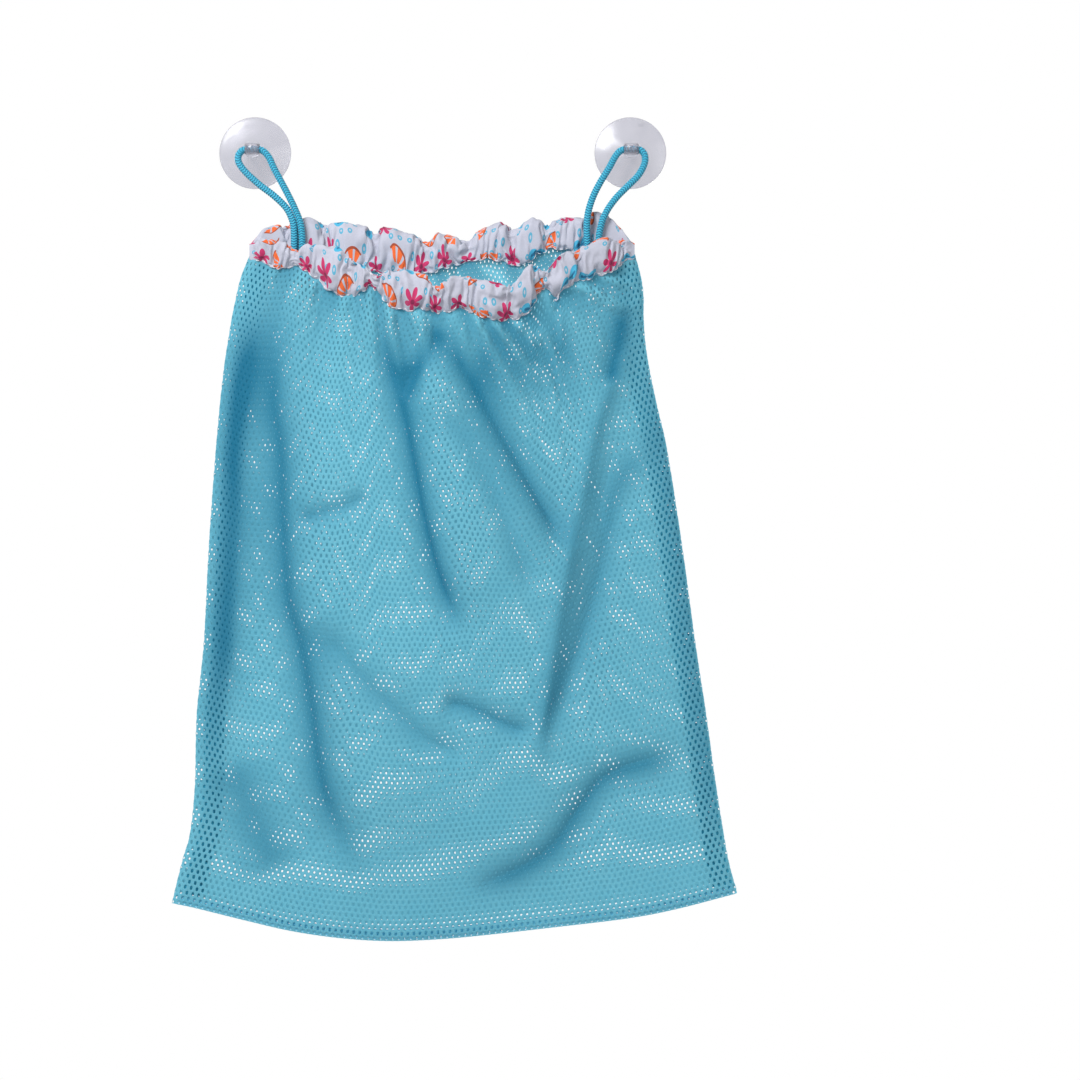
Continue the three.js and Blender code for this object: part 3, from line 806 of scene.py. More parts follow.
def turned(name, profile, centre, axis):
    """A solid turned about an axis: the closed profile is (radius, distance along the axis)."""
    bpy.ops.object.select_all(action="DESELECT")
    bpy.ops.mesh.primitive_circle_add(vertices=len(profile), radius=1)
    piece = name_piece(bpy.context.object, name)
    axis = np.asarray(axis, float)
    radial = np.array([0.0, 0.0, 1.0])
    centre = np.asarray(centre, float)
    points = [centre + radius * radial + along * axis for radius, along in profile]
    move_vertices(piece, np.array(points))
    edit_all(piece)
    bpy.ops.mesh.spin(steps=CUP_TURN_STEPS, angle=2 * math.pi, center=centre * MM, axis=axis)
    bpy.ops.mesh.select_all(action="SELECT")
    bpy.ops.mesh.remove_doubles(threshold=MERGE_DISTANCE * MM)
    bpy.ops.mesh.dissolve_degenerate(threshold=LEAST_EDGE * MM)
    bpy.ops.mesh.normals_make_consistent(inside=False)
    leave_edit()
    return piece


def cup_profile():
    """Half section of the cup as (radius, depth from the wall), from the hollow's middle outwards."""
    profile = []
    for share in np.linspace(0, 1, CUP_HOLLOW_STEPS):
        profile.append((CUP_SEAL_RADIUS * share, CUP_HOLLOW_DEPTH * (1 - share ** 2)))
    edge = CUP_RIM_THICKNESS / 2
    for angle in np.linspace(-math.pi / 2, math.pi / 2, CUP_RIM_STEPS):
        profile.append((CUP_RIM_RADIUS - edge + edge * math.cos(angle), edge + edge * math.sin(angle)))
    rise = CUP_DISH_HEIGHT - CUP_RIM_THICKNESS
    for share in np.linspace(CUP_SLOPE_START, 1, CUP_SLOPE_STEPS):
        radius = CUP_RIM_RADIUS + (CUP_NECK_RADIUS - CUP_RIM_RADIUS) * share
        profile.append((radius, CUP_RIM_THICKNESS + rise * share ** CUP_SLOPE_POWER))
    start = -math.acos(CUP_NECK_RADIUS / CUP_HEAD_RADIUS)
    for angle in np.linspace(start, math.pi / 2, CUP_HEAD_STEPS):
        depth = -HANG_PLANE + CUP_HEAD_HALF_LENGTH * math.sin(angle)
        profile.append((CUP_HEAD_RADIUS * max(math.cos(angle), 0), depth))
    return profile


def eye_profile():
    """Half section of the cord's hole as (radius, place along the hole)."""
    reach = 2 * CUP_HEAD_RADIUS
    profile = [(0, -reach)]
    for along in np.linspace(-reach, reach, CUP_EYE_STEPS):
        profile.append((CUP_EYE_RADIUS + CUP_EYE_FLARE * (along / CUP_HEAD_RADIUS) ** 2, along))
    profile.append((0, reach))
    return profile


def apply_boolean(piece, tool, operation):
    select_only(piece)
    cut = piece.modifiers.new("cut", "BOOLEAN")
    cut.operation = operation
    cut.object = tool
    cut.solver = "EXACT"
    bpy.ops.object.modifier_apply(modifier=cut.name)
    bpy.data.objects.remove(tool)


def suction_cup(side, sign):
    """A cup with its cord's hole, and a mould nub on its dish."""
    x = sign * CUP_SPACING / 2
    profile = [(radius, -depth) for radius, depth in cup_profile()]
    cup = turned(f"suction_cup_{side}_clear", profile, (x, 0, 0), (0, 1, 0))
    eye = turned("eye_cutter", eye_profile(), (x, HANG_PLANE, 0), (1, 0, 0))
    apply_boolean(cup, eye, "DIFFERENCE")
    angle = CUP_NUB_ANGLES[side]
    across = CUP_SEAL_RADIUS * math.cos(angle)
    place = (x + across, -CUP_NUB_DEPTH, CUP_SEAL_RADIUS * math.sin(angle))
    bpy.ops.object.select_all(action="DESELECT")
    bpy.ops.mesh.primitive_uv_sphere_add(
        segments=20, ring_count=12, radius=CUP_NUB_RADIUS * MM, location=[c * MM for c in place])
    nub = bpy.context.object
    bpy.ops.object.transform_apply(location=True, rotation=False, scale=False)
    apply_boolean(cup, nub, "UNION")
    shade_smooth(cup, CUP_SMOOTH_ANGLE)
    return cup


# Cord loops

def cord_path(route, sign):
    """The cord's centreline with its sewn-down tails, in millimetres."""
    x = sign * CUP_SPACING / 2
    points = [(x + px, HANG_PLANE, pz) for px, pz in route]
    tails = [tuple(np.subtract(end, (0, 0, CORD_TAIL))) for end in (points[0], points[-1])]
    points = [tails[0], *points, tails[1]]
    length = lengths_along(smooth_curve(points, CURVE_SAMPLES))[-1]
    return smooth_curve(points, round(length / CORD_STEP))


def cord_loop(side, sign, route):
    """A braided cord along its route, and its centreline."""
    path = cord_path(route, sign)
    along = lengths_along(path)

    def braid(k, angle):
        turn = BRAID_PLAITS * angle / (2 * np.pi)
        slant = np.abs(2 * (turn % 1) - 1)
        strand = np.abs(np.sin(np.pi * (along[k] / BRAID_SPACING + BRAID_SLANT * slant)))
        return CORD_DIAMETER / 2 - BRAID_DEPTH * (1 - strand)

    cord = swept_tube(f"cord_{side}_braided", path, braid, CORD_SIDES)
    shade_smooth(cord, CORD_SMOOTH_ANGLE)
    return cord, path


# Collar: two gathered casings

class Casing:
    """One gathered casing: its outline, depth and gathers, as functions of the share along it."""

    def __init__(self, band, bow, pinches, towards_front, seed):
        band = np.asarray(band, float)
        line = smooth_curve(band, BAND_SAMPLES)
        self.along = lengths_along(np.column_stack([line[:, 0], line[:, 1:].mean(1)]))
        self.length = self.along[-1]
        line[:, 2] += RUFFLE_HEIGHT * uneven_wave(self.along, RUFFLE_SPACING, seed)
        self.line = line
        bow = smooth_curve(bow, CURVE_SAMPLES)
        self.bow = np.interp(line[:, 0], bow[:, 0], bow[:, 1])
        self.pinches = pinches
        self.towards_front = towards_front
        self.seed = seed

    def at(self, share):
        """x, top, bottom and depth of the centreline, where the share runs evenly along the casing."""
        along = np.asarray(share) * self.length
        x, top, bottom = [np.interp(along, self.along, column) for column in self.line.T]
        bow = np.interp(along, self.along, self.bow)
        offset = CASING_END_OFFSET + (CASING_OFFSET - CASING_END_OFFSET) * self.inside(along)
        return x, top, bottom, HANG_PLANE - self.towards_front * (offset + bow)

    def inside(self, along):
        """0 at both ends, where front and back are sewn together, and 1 further in."""
        return smooth_rise(np.minimum(along, self.length - along) / CASING_END_REACH)

    def pinch(self, x):
        """How near a place is to the pinches: 1 at a pinch."""
        return sum(np.exp(-((x - place) / PINCH_WIDTH) ** 2) for place in self.pinches)

    def start(self, share, around):
        """Points of the casing before it settles. Around it runs up the front and down the back."""
        x, top, bottom, y = self.at(share)
        along = share * self.length
        level = -np.cos(2 * np.pi * around)
        face = np.sin(2 * np.pi * around)
        ends = self.inside(along)
        pinch = np.clip(self.pinch(x), 0, 1) * ends
        puff = CASING_END_PUFF + (CASING_PUFF - CASING_END_PUFF) * ends * (1 - PINCH_FLATNESS * pinch)
        seed = self.seed + BACK_FACE_SEED * (face < 0)
        wave = uneven_wave(along + WRINKLE_SLANT * level, WRINKLE_SPACING, seed)
        fine = uneven_wave(along - FINE_WRINKLE_SLANT * level, FINE_WRINKLE_SPACING, seed + 1)
        lift = ends * START_WAVE * (wave + FINE_WRINKLE_SHARE * fine)
        rounded = np.sign(level) * np.abs(level) ** CASING_ROUNDNESS
        low = bottom + START_RISE
        high = top - START_DROP * ends
        z = (high + low) / 2 + (high - low) / 2 * rounded + lift * np.clip(level, 0, 1)
        bulge = np.sign(face) * np.abs(face) ** CASING_FACE_FULLNESS * puff / 2
        depth = bulge + face * lift + self.lean(along) * level
        return np.column_stack([x, y - depth, z])

    def lean(self, along):
        """How far the top comes forward, because the mouth hangs open."""
        return CASING_LEAN * self.towards_front * np.interp(along, self.along, self.bow)

    def faces(self, share, z):
        """Depths of the settled cotton's innermost folds in front of and behind places inside it."""
        half = CASING_ROWS // 2
        columns = np.rint(share * CASING_COLUMNS).astype(int)
        front = np.full(len(z), -np.inf)
        back = np.full(len(z), np.inf)
        for place, (column, height) in enumerate(zip(columns, z)):
            first = max(column - FOLD_REACH, 0)
            last = min(column + FOLD_REACH, CASING_COLUMNS)
            for near in range(first, last + 1):
                up = self.grid[:half + 1, near]
                down = self.grid[half:, near][::-1]
                in_front = np.interp(height, np.maximum.accumulate(up[:, 2]), up[:, 1])
                behind = np.interp(height, np.maximum.accumulate(down[:, 2]), down[:, 1])
                front[place] = max(front[place], in_front)
                back[place] = min(back[place], behind)
        return front, back

    def sewn_edge(self, count):
        """The line inside its lower edge where the net is sewn in."""
        share = np.linspace(0, 1, count)
        x, _, bottom, y = self.at(share)
        leaned = y + SEWN_LEAN_SHARE * self.lean(share * self.length)
        return np.column_stack([x, leaned, bottom + SEWN_DEPTH])


def settle(piece, weights):
    """Lets cloth that is longer than its place settle into gathers, held by its weights."""
    select_only(piece)
    group = piece.vertex_groups.new(name="held")
    for weight in np.unique(weights):
        group.add(np.flatnonzero(weights == weight).tolist(), float(weight), "REPLACE")
    cloth = piece.modifiers.new("gathers", "CLOTH")
    cloth.point_cache.frame_start = 1
    cloth.point_cache.frame_end = RELAX_FRAMES
    for setting, value in CLOTH_SETTINGS.items():
        setattr(cloth.settings, setting, value)
    cloth.settings.effector_weights.gravity = 0
    cloth.settings.vertex_group_mass = group.name
    cloth.settings.shrink_min = -SETTLE_GROWTH
    cloth.settings.shrink_max = -SETTLE_GROWTH
    cloth.collision_settings.use_collision = False
    scene = bpy.context.scene
    for number in range(1, RELAX_FRAMES + 1):
        scene.frame_set(number)
    settled = piece.evaluated_get(bpy.context.evaluated_depsgraph_get())
    points = vertices_of(settled) / MM
    piece.modifiers.remove(cloth)
    piece.vertex_groups.remove(group)
    scene.frame_set(1)
    return points


def casing_piece(name, casing):
    """A casing of cotton, folded round its elastic and open only at the sewn edge. The casing keeps the
    grid of its settled points."""
    piece = grid_piece(name, CASING_COLUMNS, CASING_ROWS)
    uv = vertices_of(piece)
    u, v = uv[:, 0], uv[:, 1]
    move_vertices(piece, casing.start(u, v))
    sewn = np.minimum(v, 1 - v) < CASING_SEWN_SHARE
    ends = np.minimum(u, 1 - u) < CASING_HELD_END
    pinched = casing.pinch(casing.at(u)[0]) > PINCH_HELD_FROM
    weights = np.where(sewn | ends, 1.0, np.where(pinched, PINCH_HOLD, LOOSE_HOLD))
    points = settle(piece, weights)
    clearance = END_CLEARANCE + (CORD_CLEARANCE - END_CLEARANCE) * casing.inside(u * casing.length)
    limit = HANG_PLANE - casing.towards_front * clearance
    if casing.towards_front > 0:
        points[:, 1] = np.minimum(points[:, 1], limit)
    else:
        points[:, 1] = np.clip(points[:, 1], limit, -WALL_CLEARANCE)
    move_vertices(piece, points)
    size_uv(piece, casing.length * CASING_FULLNESS, CASING_WIDTH)
    order = np.lexsort((np.round(u, decimals=6), np.round(v, decimals=6)))
    casing.grid = points[order].reshape(CASING_ROWS + 1, CASING_COLUMNS + 1, 3)
    select_only(piece)
    smoother = piece.modifiers.new("smooth", "SUBSURF")
    smoother.levels = smoother.render_levels = 1
    bpy.ops.object.modifier_apply(modifier=smoother.name)
    edit_all(piece)
    bpy.ops.mesh.normals_make_consistent(inside=False)
    leave_edit()
    shade_smooth(piece)
    return piece


def elastic_piece(name, casing):
    """Flat webbing inside a casing, rippled by its own pull and kept between the cotton's faces."""
    piece = grid_piece(name, ELASTIC_COLUMNS, ELASTIC_ROWS)
    uv = vertices_of(piece)
    share = ELASTIC_END_SHARE + (1 - 2 * ELASTIC_END_SHARE) * uv[:, 0]
    x, top, bottom, y = casing.at(share)
    angle = 2 * np.pi * uv[:, 1]
    across = np.sign(np.cos(angle)) * np.abs(np.cos(angle)) ** ELASTIC_SQUARENESS
    thick = np.sign(np.sin(angle)) * np.abs(np.sin(angle)) ** ELASTIC_FLATNESS
    half = np.minimum(ELASTIC_WIDTH, ELASTIC_MOST_SHARE * (top - bottom)) / 2
    ripple = ELASTIC_RIPPLE * uneven_wave(uv[:, 0] * casing.length, ELASTIC_RIPPLE_SPACING, ELASTIC_SEED)
    z = (top + bottom) / 2 + half * across
    depth = ELASTIC_THICKNESS / 2 * thick + ripple
    front, back = casing.faces(share, z)
    middle = (front + back) / 2
    pressed = ELASTIC_PRESSED_SHARE * ELASTIC_THICKNESS * (1 - thick)
    room = np.maximum((back - front) / 2 - COTTON_GAP, pressed)
    y = np.clip(y - depth, middle - room, middle + room)
    move_vertices(piece, np.column_stack([x, y, z]))
    size_uv(piece, casing.length, 2 * ELASTIC_WIDTH)
    close_tube(piece)
    shade_smooth(piece, ELASTIC_SMOOTH_ANGLE)
    return piece


# Net panels

def fold_shift(fold, x, z):
    """How far a fold moves points of a panel, along the wall and forwards, and how near they are."""
    line = smooth_curve(fold["line"], FOLD_SAMPLES)
    tangent = np.gradient(line, axis=0)
    tangent /= np.linalg.norm(tangent, axis=1)[:, None]
    gap_x = x[..., None] - line[:, 0]
    gap_z = z[..., None] - line[:, 1]
    nearest = np.argmin(gap_x ** 2 + gap_z ** 2, axis=-1)
    along = tangent[nearest]
    off_x = np.take_along_axis(gap_x, nearest[..., None], -1)[..., 0]
    off_z = np.take_along_axis(gap_z, nearest[..., None], -1)[..., 0]
    side = along[..., 0] * off_z - along[..., 1] * off_x
    run = along[..., 0] * off_x + along[..., 1] * off_z
    ends = np.minimum(nearest, FOLD_SAMPLES - 1 - nearest) / (FOLD_SAMPLES - 1)
    strength = smooth_rise(FOLD_END_STRENGTH + ends / FOLD_END_SHARE) * np.exp(-(run / FOLD_FADE) ** 2)
    near = np.exp(-(side / fold["width"]) ** 2)
    step = np.tanh(side / fold["width"]) * np.exp(-(side / (FOLD_STEP_REACH * fold["width"])) ** 2)
    draw = -fold["draw"] * side * near * strength
    forward = FOLD_STRENGTH * strength * (fold["depth"] * near + fold["rise"] * step)
    return -draw * along[..., 1], draw * along[..., 0], forward, near * strength


def panel_surface(casing, towards_front, folds, belly, gather_shade, seed):
    """Points of a hanging panel, rows from the hem up and columns from the left, with its painted
    shade and how far its holes are pulled closed."""
    u = np.linspace(0, 1, PANEL_COLUMNS)
    v = np.linspace(0, 1, PANEL_ROWS)[:, None]
    y = HANG_PLANE - towards_front * PANEL_OFFSET
    top = casing.sewn_edge(PANEL_COLUMNS)

    def in_plane(points, count):
        flat = smooth_curve(points, count)
        return np.column_stack([flat[:, 0], np.full(count, float(y)), flat[:, 1]])

    hem = in_plane(HEM, PANEL_COLUMNS)
    left = in_plane([*LEFT_EDGE, tuple(top[0, [0, 2]])], PANEL_ROWS)
    right = in_plane([*RIGHT_EDGE, tuple(top[-1, [0, 2]])], PANEL_ROWS)
    left[:, 1] += (top[0, 1] - y) * v[:, 0] ** EDGE_END_POWER
    right[:, 1] += (top[-1, 1] - y) * v[:, 0] ** EDGE_END_POWER
    column = u[None, :, None]
    row = v[:, :, None]
    grid = (1 - row) * hem[None] + row * top[None]
    grid = grid + (1 - column) * left[:, None] + column * right[:, None]
    grid = grid - (1 - row) * ((1 - column) * hem[0] + column * hem[-1])
    grid = grid - row * ((1 - column) * top[0] + column * top[-1])
    from_side = np.minimum(u, 1 - u)[None] * (hem[-1, 0] - hem[0, 0])
    from_hem = v * (top[:, 2].mean() - hem[:, 2].mean())
    turn = smooth_rise(from_side / EDGE_TURN) * smooth_rise(from_hem / EDGE_TURN)
    middle = np.sin(np.pi * u)[None] * np.sin(np.pi * v)
    inside = np.clip(middle, 0, 1) ** INSIDE_POWER
    forward = belly * middle
    shade = np.zeros_like(forward)
    closed = np.zeros_like(forward)
    x, z = grid[..., 0].copy(), grid[..., 2].copy()
    for fold in folds:
        shift_x, shift_z, fold_forward, near = fold_shift(fold, x, z)
        grid[..., 0] += inside * shift_x
        grid[..., 2] += inside * shift_z
        forward = forward + inside * fold_forward
        shade = shade + fold["shade"] * near
        closed = closed + fold["draw"] * near
    below = top[None, :, 2] - z
    spread = 1 + below / GATHER_SPREAD
    gathers = uneven_wave(u[None] * casing.length / spread + GATHER_DRIFT * spread, GATHER_SPACING, seed)
    fine = uneven_wave(u[None] * casing.length, FINE_GATHER_SPACING, seed + 1)
    edges = smooth_rise(np.minimum(u, 1 - u) / GATHER_EDGE_SHARE)[None]
    hold = smooth_rise(below / GATHER_START)
    fade = np.exp(-np.clip(below, 0, None) / GATHER_REACH)
    fine_fade = np.exp(-np.clip(below, 0, None) / FINE_GATHER_REACH)
    waves = GATHER_HEIGHT * gathers * fade + FINE_GATHER_HEIGHT * fine * fine_fade
    forward = forward + edges * hold * GATHER_DEPTH * waves
    forward = np.maximum(forward, LEAST_FORWARD * turn) - (PANEL_OFFSET - EDGE_OFFSET) * (1 - turn)
    grid[..., 1] -= towards_front * forward
    # Under the collar's gathers: painted shade, and holes pulled closed
    bunched_and_shade = gather_shade * edges * fade * np.clip(GATHER_SHADE_LEVEL - gathers, 0, 1)
    return grid, np.clip(shade + bunched_and_shade, 0, 1), np.clip(closed + bunched_and_shade, 0, 1)


def sample(field, u, v):
    """Values of a grid of vectors at shares u and v of it."""
    rows, columns = field.shape[:2]
    column = np.clip(u, 0, 1) * (columns - 1)
    row = np.clip(v, 0, 1) * (rows - 1)
    c = np.minimum(column.astype(int), columns - 2)
    r = np.minimum(row.astype(int), rows - 2)
    s, t = (column - c)[:, None], (row - r)[:, None]
    low = field[r, c] * (1 - s) + field[r, c + 1] * s
    high = field[r + 1, c] * (1 - s) + field[r + 1, c + 1] * s
    return low * (1 - t) + high * t


def lay_on(grid, u, v, height):
    """Points at shares u and v of a grid, raised from it by a height along its normal."""
    normal = np.cross(np.gradient(grid, axis=1), np.gradient(grid, axis=0))
    normal /= np.linalg.norm(normal, axis=2)[..., None]
    return sample(grid, u, v) + height[:, None] * sample(normal, u, v)


def flat_net(name, columns, rows):
    """A flat net of six-sided cells, and which of its vertices lie on the middle of the yarn."""
    bpy.ops.object.select_all(action="DESELECT")
    bpy.ops.mesh.primitive_circle_add(vertices=6, radius=CELL_HEIGHT / 2 * MM, fill_type="NGON")
    piece = name_piece(bpy.context.object, name)
    size = np.ptp(vertices_of(piece), axis=0)
    piece.scale = (CELL_WIDTH * MM / size[0], CELL_HEIGHT * MM / size[1], 1)
    bpy.ops.object.transform_apply(location=False, rotation=False, scale=True)
    for count, offset in (
        (2, (CELL_WIDTH / 2, ROW_STEP, 0)),
        (columns, (CELL_WIDTH, 0, 0)),
        (rows // 2, (0, 2 * ROW_STEP, 0)),
    ):
        copies = piece.modifiers.new("cells", "ARRAY")
        copies.use_relative_offset = False
        copies.use_constant_offset = True
        copies.constant_offset_displace = [value * MM for value in offset]
        copies.count = count
        bpy.ops.object.modifier_apply(modifier=copies.name)
    edit_all(piece)
    bpy.ops.mesh.remove_doubles(threshold=NET_MERGE_DISTANCE * MM)
    leave_edit()
    on_yarn = len(piece.data.vertices)
    edit_all(piece)
    bpy.ops.mesh.inset(thickness=YARN_HALF_WIDTH * MM, use_individual=True)
    bpy.ops.mesh.delete(type="FACE")
    leave_edit()
    raised = np.arange(len(piece.data.vertices)) < on_yarn
    return piece, raised


def straight_edge(place, length, margin):
    """Shares along a length, with the half cells at both ends pressed into a straight edge."""
    inner = np.clip(place, margin, length - margin)
    pressed = inner + EDGE_PRESS * (place - inner)
    spare = (1 - EDGE_PRESS) * margin
    return (pressed - spare) / (length - 2 * spare)


def drawn_in(grid, u, v, size, hole):
    """How much narrower and lower the holes at u and v get, because yarn keeps its thickness."""
    rows, columns = grid.shape[:2]
    scales = []
    for axis, count, yarn, k in ((1, columns, YARN_ACROSS, 0), (0, rows, YARN_UP, 1)):
        step = np.linalg.norm(np.gradient(grid, axis=axis), axis=2)[..., None] * (count - 1)
        cell = sample(step, u, v)[:, 0] * CELL_SIZE[k] / size[k]
        flat_share = hole[k] / CELL_SIZE[k]
        thickness = 2 * yarn * (cell / CELL_SIZE[k]) ** YARN_GIVE
        scales.append(np.clip((1 - thickness / cell) / flat_share, HOLE_LEAST, HOLE_MOST))
    return scales


def net_panel(name, grid, shade, closed, cells, outward, openness):
    """A net laid on a panel, with holes that close where it is pulled together, carrying the panel's
    painted shade.
    """
    piece, raised = flat_net(name, *cells)
    flat = vertices_of(piece) / MM
    low = flat.min(0)
    size = np.ptp(flat, axis=0)
    row = np.rint(flat[:, 1] / ROW_STEP)
    shift = CELL_WIDTH / 2 * (row % 2)
    column = np.rint((flat[:, 0] - shift) / CELL_WIDTH)
    middle = np.column_stack([column * CELL_WIDTH + shift, row * ROW_STEP])
    u, v = ((middle - low[:2]) / size[:2]).T
    offset = flat[:, :2] - middle
    hole = 2 * np.abs(offset[~raised]).max(0)
    open_share = openness * (1 - MOST_CLOSED * sample(closed[..., None], u, v))
    scale = np.column_stack(drawn_in(grid, u, v, size, hole)) * open_share
    flat[:, :2] = np.where(raised[:, None], flat[:, :2], middle + offset * scale)
    u = straight_edge(flat[:, 0] - low[0], size[0], CELL_WIDTH / 2)
    v = straight_edge(flat[:, 1] - low[1], size[1], CELL_HEIGHT / 4)
    height = outward * np.where(raised, YARN_RAISE, 0.0)
    move_vertices(piece, lay_on(grid, u, v, height))
    # Painted shade, kept on the points for the net's finish
    depth = piece.data.attributes.new(SHADE_NAME, "FLOAT", "POINT")
    depth.data.foreach_set("value", sample(shade[..., None], u, v)[:, 0].astype(np.float32))
    shade_smooth(piece)
    return piece


# Seams

def zigzag(line, inward, start, width, pitch):
    """Points of an overlock thread along a line, from one side of the strip to the other and back."""
    along = lengths_along(line)
    count = int(along[-1] / pitch) * 2
    wanted = np.linspace(0, along[-1], count)
    points = np.column_stack([np.interp(wanted, along, column) for column in line.T])
    inwards = np.column_stack([np.interp(wanted, along, column) for column in inward.T])
    number = np.arange(count)
    points = points + inwards * (start + width * (number % 2))[:, None]
    points[:, 1] += OVERLOCK_LIFT * (1 - 2 * (number // 2 % 2))
    return points


def seam_strip(name, edge, inward, rows, inset):
    """Two layers of net turned inwards along an edge, with an overlock thread on their free side."""
    layers = []
    for layer, half_step in ((-1, 0.0), (1, 0.5)):
        piece, raised = flat_net(f"{name}_{layer}", SEAM_CELLS_ACROSS, rows)
        flat = vertices_of(piece) / MM
        low = flat.min(0)
        size = np.ptp(flat, axis=0)
        across = straight_edge(flat[:, 0] - low[0], size[0], CELL_WIDTH / 2)
        along = np.clip((flat[:, 1] - low[1]) / size[1] + half_step / rows, 0, 1)
        share = along * (len(edge) - 1)
        k = np.minimum(share.astype(int), len(edge) - 2)
        t = (share - k)[:, None]
        base = edge[k] * (1 - t) + edge[k + 1] * t
        direction = inward[k] * (1 - t) + inward[k + 1] * t
        points = base + direction * (inset + SEAM_WIDTH * across)[:, None]
        points[:, 1] = HANG_PLANE + layer * (SEAM_LAYER_GAP / 2 + np.where(raised, SEAM_YARN_RAISE, 0))
        move_vertices(piece, points)
        layers.append(piece)
    thread_start = inset + SEAM_WIDTH - OVERLOCK_WIDTH
    thread_line = zigzag(edge, inward, thread_start, OVERLOCK_WIDTH, OVERLOCK_PITCH)
    thread = swept_tube(f"{name}_thread", thread_line, THREAD_RADIUS, THREAD_SIDES)
    return joined([*layers, thread], name)


def stitch_row(name, casing):
    """Short raised stitches along a casing, a little proud of its face."""
    shares = np.arange(STITCH_START, STITCH_END, (STITCH_LENGTH + STITCH_GAP) / casing.length)
    half = STITCH_LENGTH / 2 / casing.length
    pieces = []
    for number, share in enumerate(shares):
        places = np.array([share - half, share, share + half])
        around = np.full(len(places), STITCH_PLACE)
        points = lay_on(casing.grid, places, around, np.array(STITCH_HEIGHTS))
        path = smooth_curve(points, STITCH_POINTS)
        pieces.append(swept_tube(f"{name}_{number}", path, THREAD_RADIUS, THREAD_SIDES))
    return joined(pieces, name)


# Stage

def add_camera():
    """The photograph's camera, straight in front of the wall."""
    distance = PHOTO_WIDTH * CAMERA_LENS / CAMERA_SENSOR
    data = bpy.data.cameras.new("camera")
    data.lens = CAMERA_LENS
    data.sensor_width = CAMERA_SENSOR
    camera = bpy.data.objects.new("camera", data)
    camera.location = (PHOTO_MIDDLE_X * MM, (HANG_PLANE - distance) * MM, PHOTO_MIDDLE_Z * MM)
    camera.rotation_euler = (math.pi / 2, 0, 0)
    bpy.context.scene.collection.objects.link(camera)
    bpy.context.scene.camera = camera


def add_area_light(name, place, size, power):
    data = bpy.data.lights.new(name, "AREA")
    data.energy = power
    data.size = size
    light = bpy.data.objects.new(name, data)
    light.location = place
    direction = np.subtract(LIGHT_TARGET, place)
    light.rotation_euler = Vector(direction).to_track_quat("-Z", "Y").to_euler()
    bpy.context.scene.collection.objects.link(light)


def add_stage():
    """Floor, lights and a white surround that lights the bag less than it shows."""
    bpy.ops.object.select_all(action="DESELECT")
    bpy.ops.mesh.primitive_plane_add(size=FLOOR_SIZE, location=(0, 0, FLOOR_LEVEL))
    floor = name_piece(bpy.context.object, "floor")
    finish = Finish("pale_floor")
    grain = finish.noise(scale=30.0)
    finish.set(Base_Color=finish.mix(grain, colour(232, 232, 234), colour(240, 240, 242)))
    finish.roughen(grain, least=0.7, spread=0.1)
    floor.data.materials.append(finish.material)
    for name, settings in LIGHTS.items():
        add_area_light(name, **settings)
    world = bpy.data.worlds.new("white_surround")
    bpy.context.scene.world = world
    world.use_nodes = True
    tree = world.node_tree
    tree.nodes.clear()
    rays = tree.nodes.new("ShaderNodeLightPath")
    seen = rays.outputs["Is Camera Ray"]
    for ray in ("Is Glossy Ray", "Is Transmission Ray"):
        either = tree.nodes.new("ShaderNodeMath")
        either.operation = "MAXIMUM"
        tree.links.new(seen, either.inputs[0])
        tree.links.new(rays.outputs[ray], either.inputs[1])
        seen = either.outputs[0]
    surround = tree.nodes.new("ShaderNodeMixShader")
    tree.links.new(seen, surround.inputs["Fac"])
    for socket, strength in ((1, AMBIENT_LIGHT), (2, 1)):
        white = tree.nodes.new("ShaderNodeBackground")
        white.inputs["Color"].default_value = WHITE
        white.inputs["Strength"].default_value = strength
        tree.links.new(white.outputs[0], surround.inputs[socket])
    output = tree.nodes.new("ShaderNodeOutputWorld")
    tree.links.new(surround.outputs[0], output.inputs["Surface"])
    bpy.context.scene.view_settings.view_transform = "Standard"


# The object


def follow(piece, place):
    """Pieces of the front have their place baked into their mesh, and those of the back stay with the
    bag.
    """
    if place == "front":
        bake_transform(piece)
    else:
        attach(piece, "bag")


add_camera()

cord_material = cord_finish()
for side, sign, route in (("left", -1, LEFT_LOOP), ("right", 1, RIGHT_LOOP)):
    cord, path = cord_loop(side, sign, route)
    dress(cord, cord_material)
    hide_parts(f"cord_loop_{side}", f"cord_tack_{side}")
    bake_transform(cord)
    length = round(lengths_along(path)[-1] * MM, 3)
    path[0] * MM
    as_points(path[::CORD_PATH_EVERY] * MM)

pvc_material = clear_pvc_finish()
for side, sign in (("left", -1), ("right", 1)):
    cup = suction_cup(side, sign)
    dress(cup, pvc_material)
    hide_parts(f"suction_cup_{side}")
    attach(cup, "wall_cups")

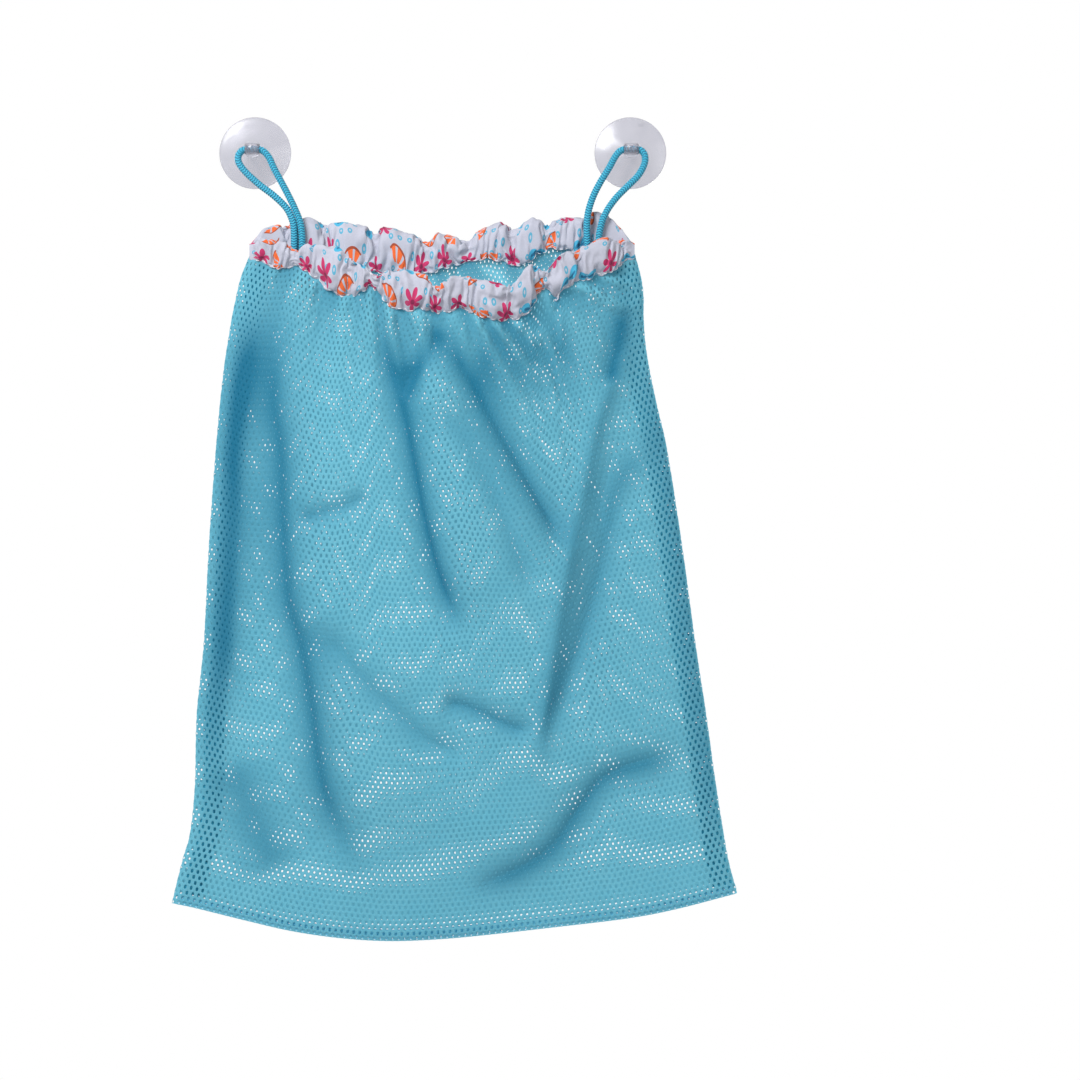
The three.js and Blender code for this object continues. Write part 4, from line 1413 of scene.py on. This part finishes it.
front_casing = Casing(FRONT_BAND, FRONT_BOW, FRONT_PINCHES, 1, FRONT_SEED)
back_casing = Casing(BACK_BAND, BACK_BOW, BACK_PINCHES, -1, BACK_SEED)
cotton_material = printed_cotton_finish()
webbing_material = elastic_finish()
white_thread = thread_finish("white_thread", colour(236, 236, 240))
for place, casing in (("front", front_casing), ("back", back_casing)):
    collar = casing_piece(f"collar_{place}_casing", casing)
    dress(collar, cotton_material)
    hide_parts(f"collar_{place}")
    elastic = elastic_piece(f"elastic_{place}_webbing", casing)
    dress(elastic, webbing_material)
    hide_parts(f"elastic_{place}")
    stitches = stitch_row(f"collar_{place}_stitches", casing)
    dress(stitches, white_thread)
    for piece in (collar, elastic, stitches):
        follow(piece, place)

front_panel = panel_surface(
    front_casing, 1, FRONT_FOLDS, FRONT_BELLY, FRONT_GATHER_SHADE, FRONT_GATHER_SEED)
back_panel = panel_surface(
    back_casing, -1, BACK_FOLDS, BACK_BELLY, BACK_GATHER_SHADE, BACK_GATHER_SEED)
# The third colour of each net finish is the deeper colour of its painted shade
net_material = net_finish("knit_net", colour(121, 193, 211), colour(94, 177, 199), colour(0, 106, 138))
panels = {
    "front": (front_panel, FRONT_CELLS, 1, FRONT_OPENNESS),
    "back": (back_panel, BACK_CELLS, -1, BACK_OPENNESS),
}
for place, (panel, cells, outward, openness) in panels.items():
    net = net_panel(f"net_{place}_knit", *panel, cells, outward, openness)
    dress(net, net_material)
    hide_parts(f"net_{place}_panel")
    follow(net, place)
    flat_width = cells[0] * CELL_WIDTH * MM
    flat_length = FRONT_CELLS[1] * ROW_PITCH * MM
    NET_AREA_SHARE * flat_width * flat_length

front_grid = front_panel[0]
# The seam strips are the same net in a darker copy of its colours: painted shade between the panels
shaded_seam_material = net_finish("net_seam", colour(70, 170, 196), colour(44, 146, 174), colour(0, 106, 138))
# The bottom seam is the same net in a lighter copy of its colours: painted light at the hem
painted_light_hem_material = net_finish("net_hem_painted_light", colour(126, 206, 230), colour(108, 192, 218), colour(0, 116, 146))
left_edge, right_edge = [front_grid[SIDE_SEAM_SPAN, side] for side in (0, -1)]
hem_edge = front_grid[0, BOTTOM_SEAM_SPAN]
up_hem = (0, 0, BOTTOM_SEAM_NARROWING)
seams = {
    "side_seam_left": (left_edge, (1, 0, 0), SIDE_SEAM_ROWS, LEFT_SEAM_INSET, shaded_seam_material),
    "side_seam_right": (right_edge, (-1, 0, 0), SIDE_SEAM_ROWS, SEAM_INSET, shaded_seam_material),
    "bottom_seam": (hem_edge, up_hem, BOTTOM_SEAM_ROWS, SEAM_INSET, painted_light_hem_material),
}
for node, (edge, direction, rows, inset, material) in seams.items():
    inward = np.tile(np.asarray(direction, float), (len(edge), 1))
    strip = seam_strip(f"{node}_turned", edge.copy(), inward, rows, inset)
    dress(strip, material)
    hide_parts(node)
    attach(strip, "bag")

add_stage()
